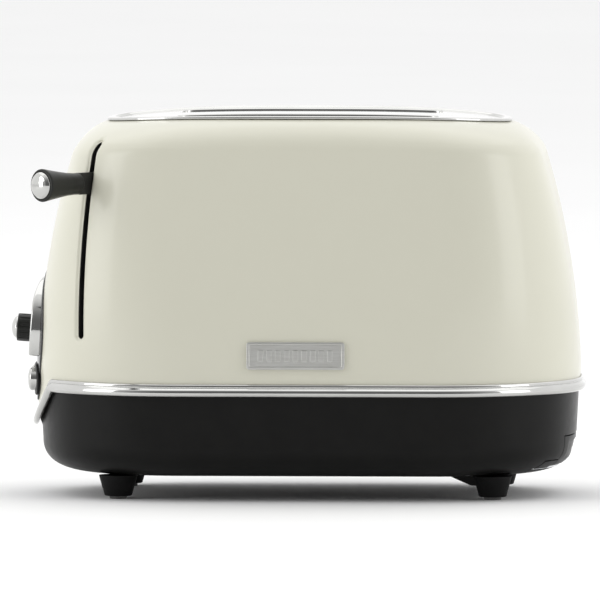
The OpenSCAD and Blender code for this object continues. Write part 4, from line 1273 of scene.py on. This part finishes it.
# ------------------------------------------------------------------ lift spring, which bends with the carriage
lo, hi, turns, sr, wr = 21.2, 124.8, 12, 4.4, 0.5
n = turns * 40
rings = []
for i in range(n + 1):
    t = i / n
    a = 2 * pi * turns * t
    z = lerp(lo + wr, hi - wr, t)
    rings.append([((sr + wr * cos(q)) * cos(a) - 96, (sr + wr * cos(q)) * sin(a), z + wr * sin(q)) for q in
                  [2 * pi * j / 12 for j in range(12)]])
v, f = loft(rings, caps=True)
me = bpy.data.meshes.new("lift_spring_wire")
me.from_pydata([tuple(p) for p in (v + OFF) * MM], [], f)
bm = bmesh.new()
bm.from_mesh(me)
bmesh.ops.recalc_face_normals(bm, faces=bm.faces)
bm.to_mesh(me)
bm.free()
finish_mesh(me, 60)
spring = bpy.data.objects.new("lift_spring_wire", me)
bpy.context.scene.collection.objects.link(spring)
me.materials.append(M["wire_steel"])
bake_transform(spring, "chassis", "carriage", (-0.09, 0, (lo + 2.5) * MM), (-0.09, 0, (hi + 2.5) * MM))
co = np.array([p.co.z for p in me.vertices])
w = np.clip((co - (lo + wr + 2.5) * MM) / ((hi - lo - 2 * wr) * MM), 0, 1)
me.attributes["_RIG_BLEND"].data.foreach_set("value", w.astype(np.float32))
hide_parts("lift_spring")

# ------------------------------------------------------------------ stage, light and camera
n = 128
fv = [(0.006, 0, -0.0)] + [(0.006 + 9 * cos(2 * pi * i / n), 9 * sin(2 * pi * i / n), 0.0) for i in range(n)]
me = bpy.data.meshes.new("floor")
me.from_pydata(fv, [], [(0, 1 + i, 1 + (i + 1) % n) for i in range(n)])
floor = bpy.data.objects.new("floor", me)
bpy.context.scene.collection.objects.link(floor)
floor.location.z = cad_lo.z
fm = surface("floor_paper", (0.93, 0.93, 0.93), (0.94, 0.94, 0.94), (0.85, 0.95), scale=3, rough_scale=10, bump_scale=300,
             bump_strength=0.02, bump_mm=0.05, spec=0.2)
me.materials.append(fm)

world = bpy.data.worlds.new("studio")
bpy.context.scene.world = world
world.use_nodes = True
nt = world.node_tree
nt.nodes.clear()
out = nt.nodes.new("ShaderNodeOutputWorld")
bg = nt.nodes.new("ShaderNodeBackground")
tc = nt.nodes.new("ShaderNodeTexCoord")
sx = nt.nodes.new("ShaderNodeSeparateXYZ")
nt.links.new(tc.outputs["Generated"], sx.inputs["Vector"])
mr = nt.nodes.new("ShaderNodeMapRange")
mr.interpolation_type = "SMOOTHSTEP"
mr.inputs["From Min"].default_value = -0.98
mr.inputs["From Max"].default_value = -0.15
mr.inputs["To Min"].default_value = 0.17
mr.inputs["To Max"].default_value = 1.12
nt.links.new(sx.outputs["Y"], mr.inputs["Value"])
bg.inputs["Color"].default_value = (1, 1, 1, 1)
nt.links.new(mr.outputs["Result"], bg.inputs["Strength"])
bg2 = nt.nodes.new("ShaderNodeBackground")
bg2.inputs["Color"].default_value = (1, 1, 1, 1)
bg2.inputs["Strength"].default_value = 1.0
lpn = nt.nodes.new("ShaderNodeLightPath")
mx = nt.nodes.new("ShaderNodeMixShader")
nt.links.new(lpn.outputs["Is Camera Ray"], mx.inputs["Fac"])
nt.links.new(bg.outputs["Background"], mx.inputs[1])
nt.links.new(bg2.outputs["Background"], mx.inputs[2])
nt.links.new(mx.outputs["Shader"], out.inputs["Surface"])


def area(name, loc, target, size, power, color=(1, 1, 1)):
    la = bpy.data.lights.new(name, "AREA")
    la.shape = "RECTANGLE"
    la.size, la.size_y = size
    la.energy = power
    la.color = color
    ob = bpy.data.objects.new(name, la)
    bpy.context.scene.collection.objects.link(ob)
    ob.location = loc
    d = Vector(target) - Vector(loc)
    ob.rotation_mode = "QUATERNION"
    ob.rotation_quaternion = d.to_track_quat("-Z", "Y")
    return ob


area("overhead_softbox", (0.0, 0.9, 2.2), (0, 0.4, 0.0), (3.0, 2.4), 12.0)
area("left_softbox", (-1.8, -0.75, 0.6), (0, 0, 0.1), (0.9, 1.2), 8.0)
area("right_softbox", (1.9, -0.75, 0.6), (0, 0, 0.1), (0.9, 1.2), 6.5)

cam_d = bpy.data.cameras.new("camera")
cam = bpy.data.objects.new("camera", cam_d)
bpy.context.scene.collection.objects.link(cam)
bpy.context.scene.camera = cam
az, el, dist = math.radians(2.8), math.radians(3.43), 12.0
target = Vector((0.0007, 0.0, 0.1026))
back = Vector((sin(az) * cos(el), -cos(az) * cos(el), sin(el)))
cam.location = target + back * dist
cam.rotation_mode = "QUATERNION"
cam.rotation_quaternion = (-back).to_track_quat("-Z", "Y")
cam_d.sensor_width = 36.0
cam_d.lens = 36.0 * dist / 0.31915
cam_d.clip_start, cam_d.clip_end = 0.05, 40.0
bpy.context.scene.view_settings.view_transform = "Standard"
bpy.context.scene.view_settings.look = "None"
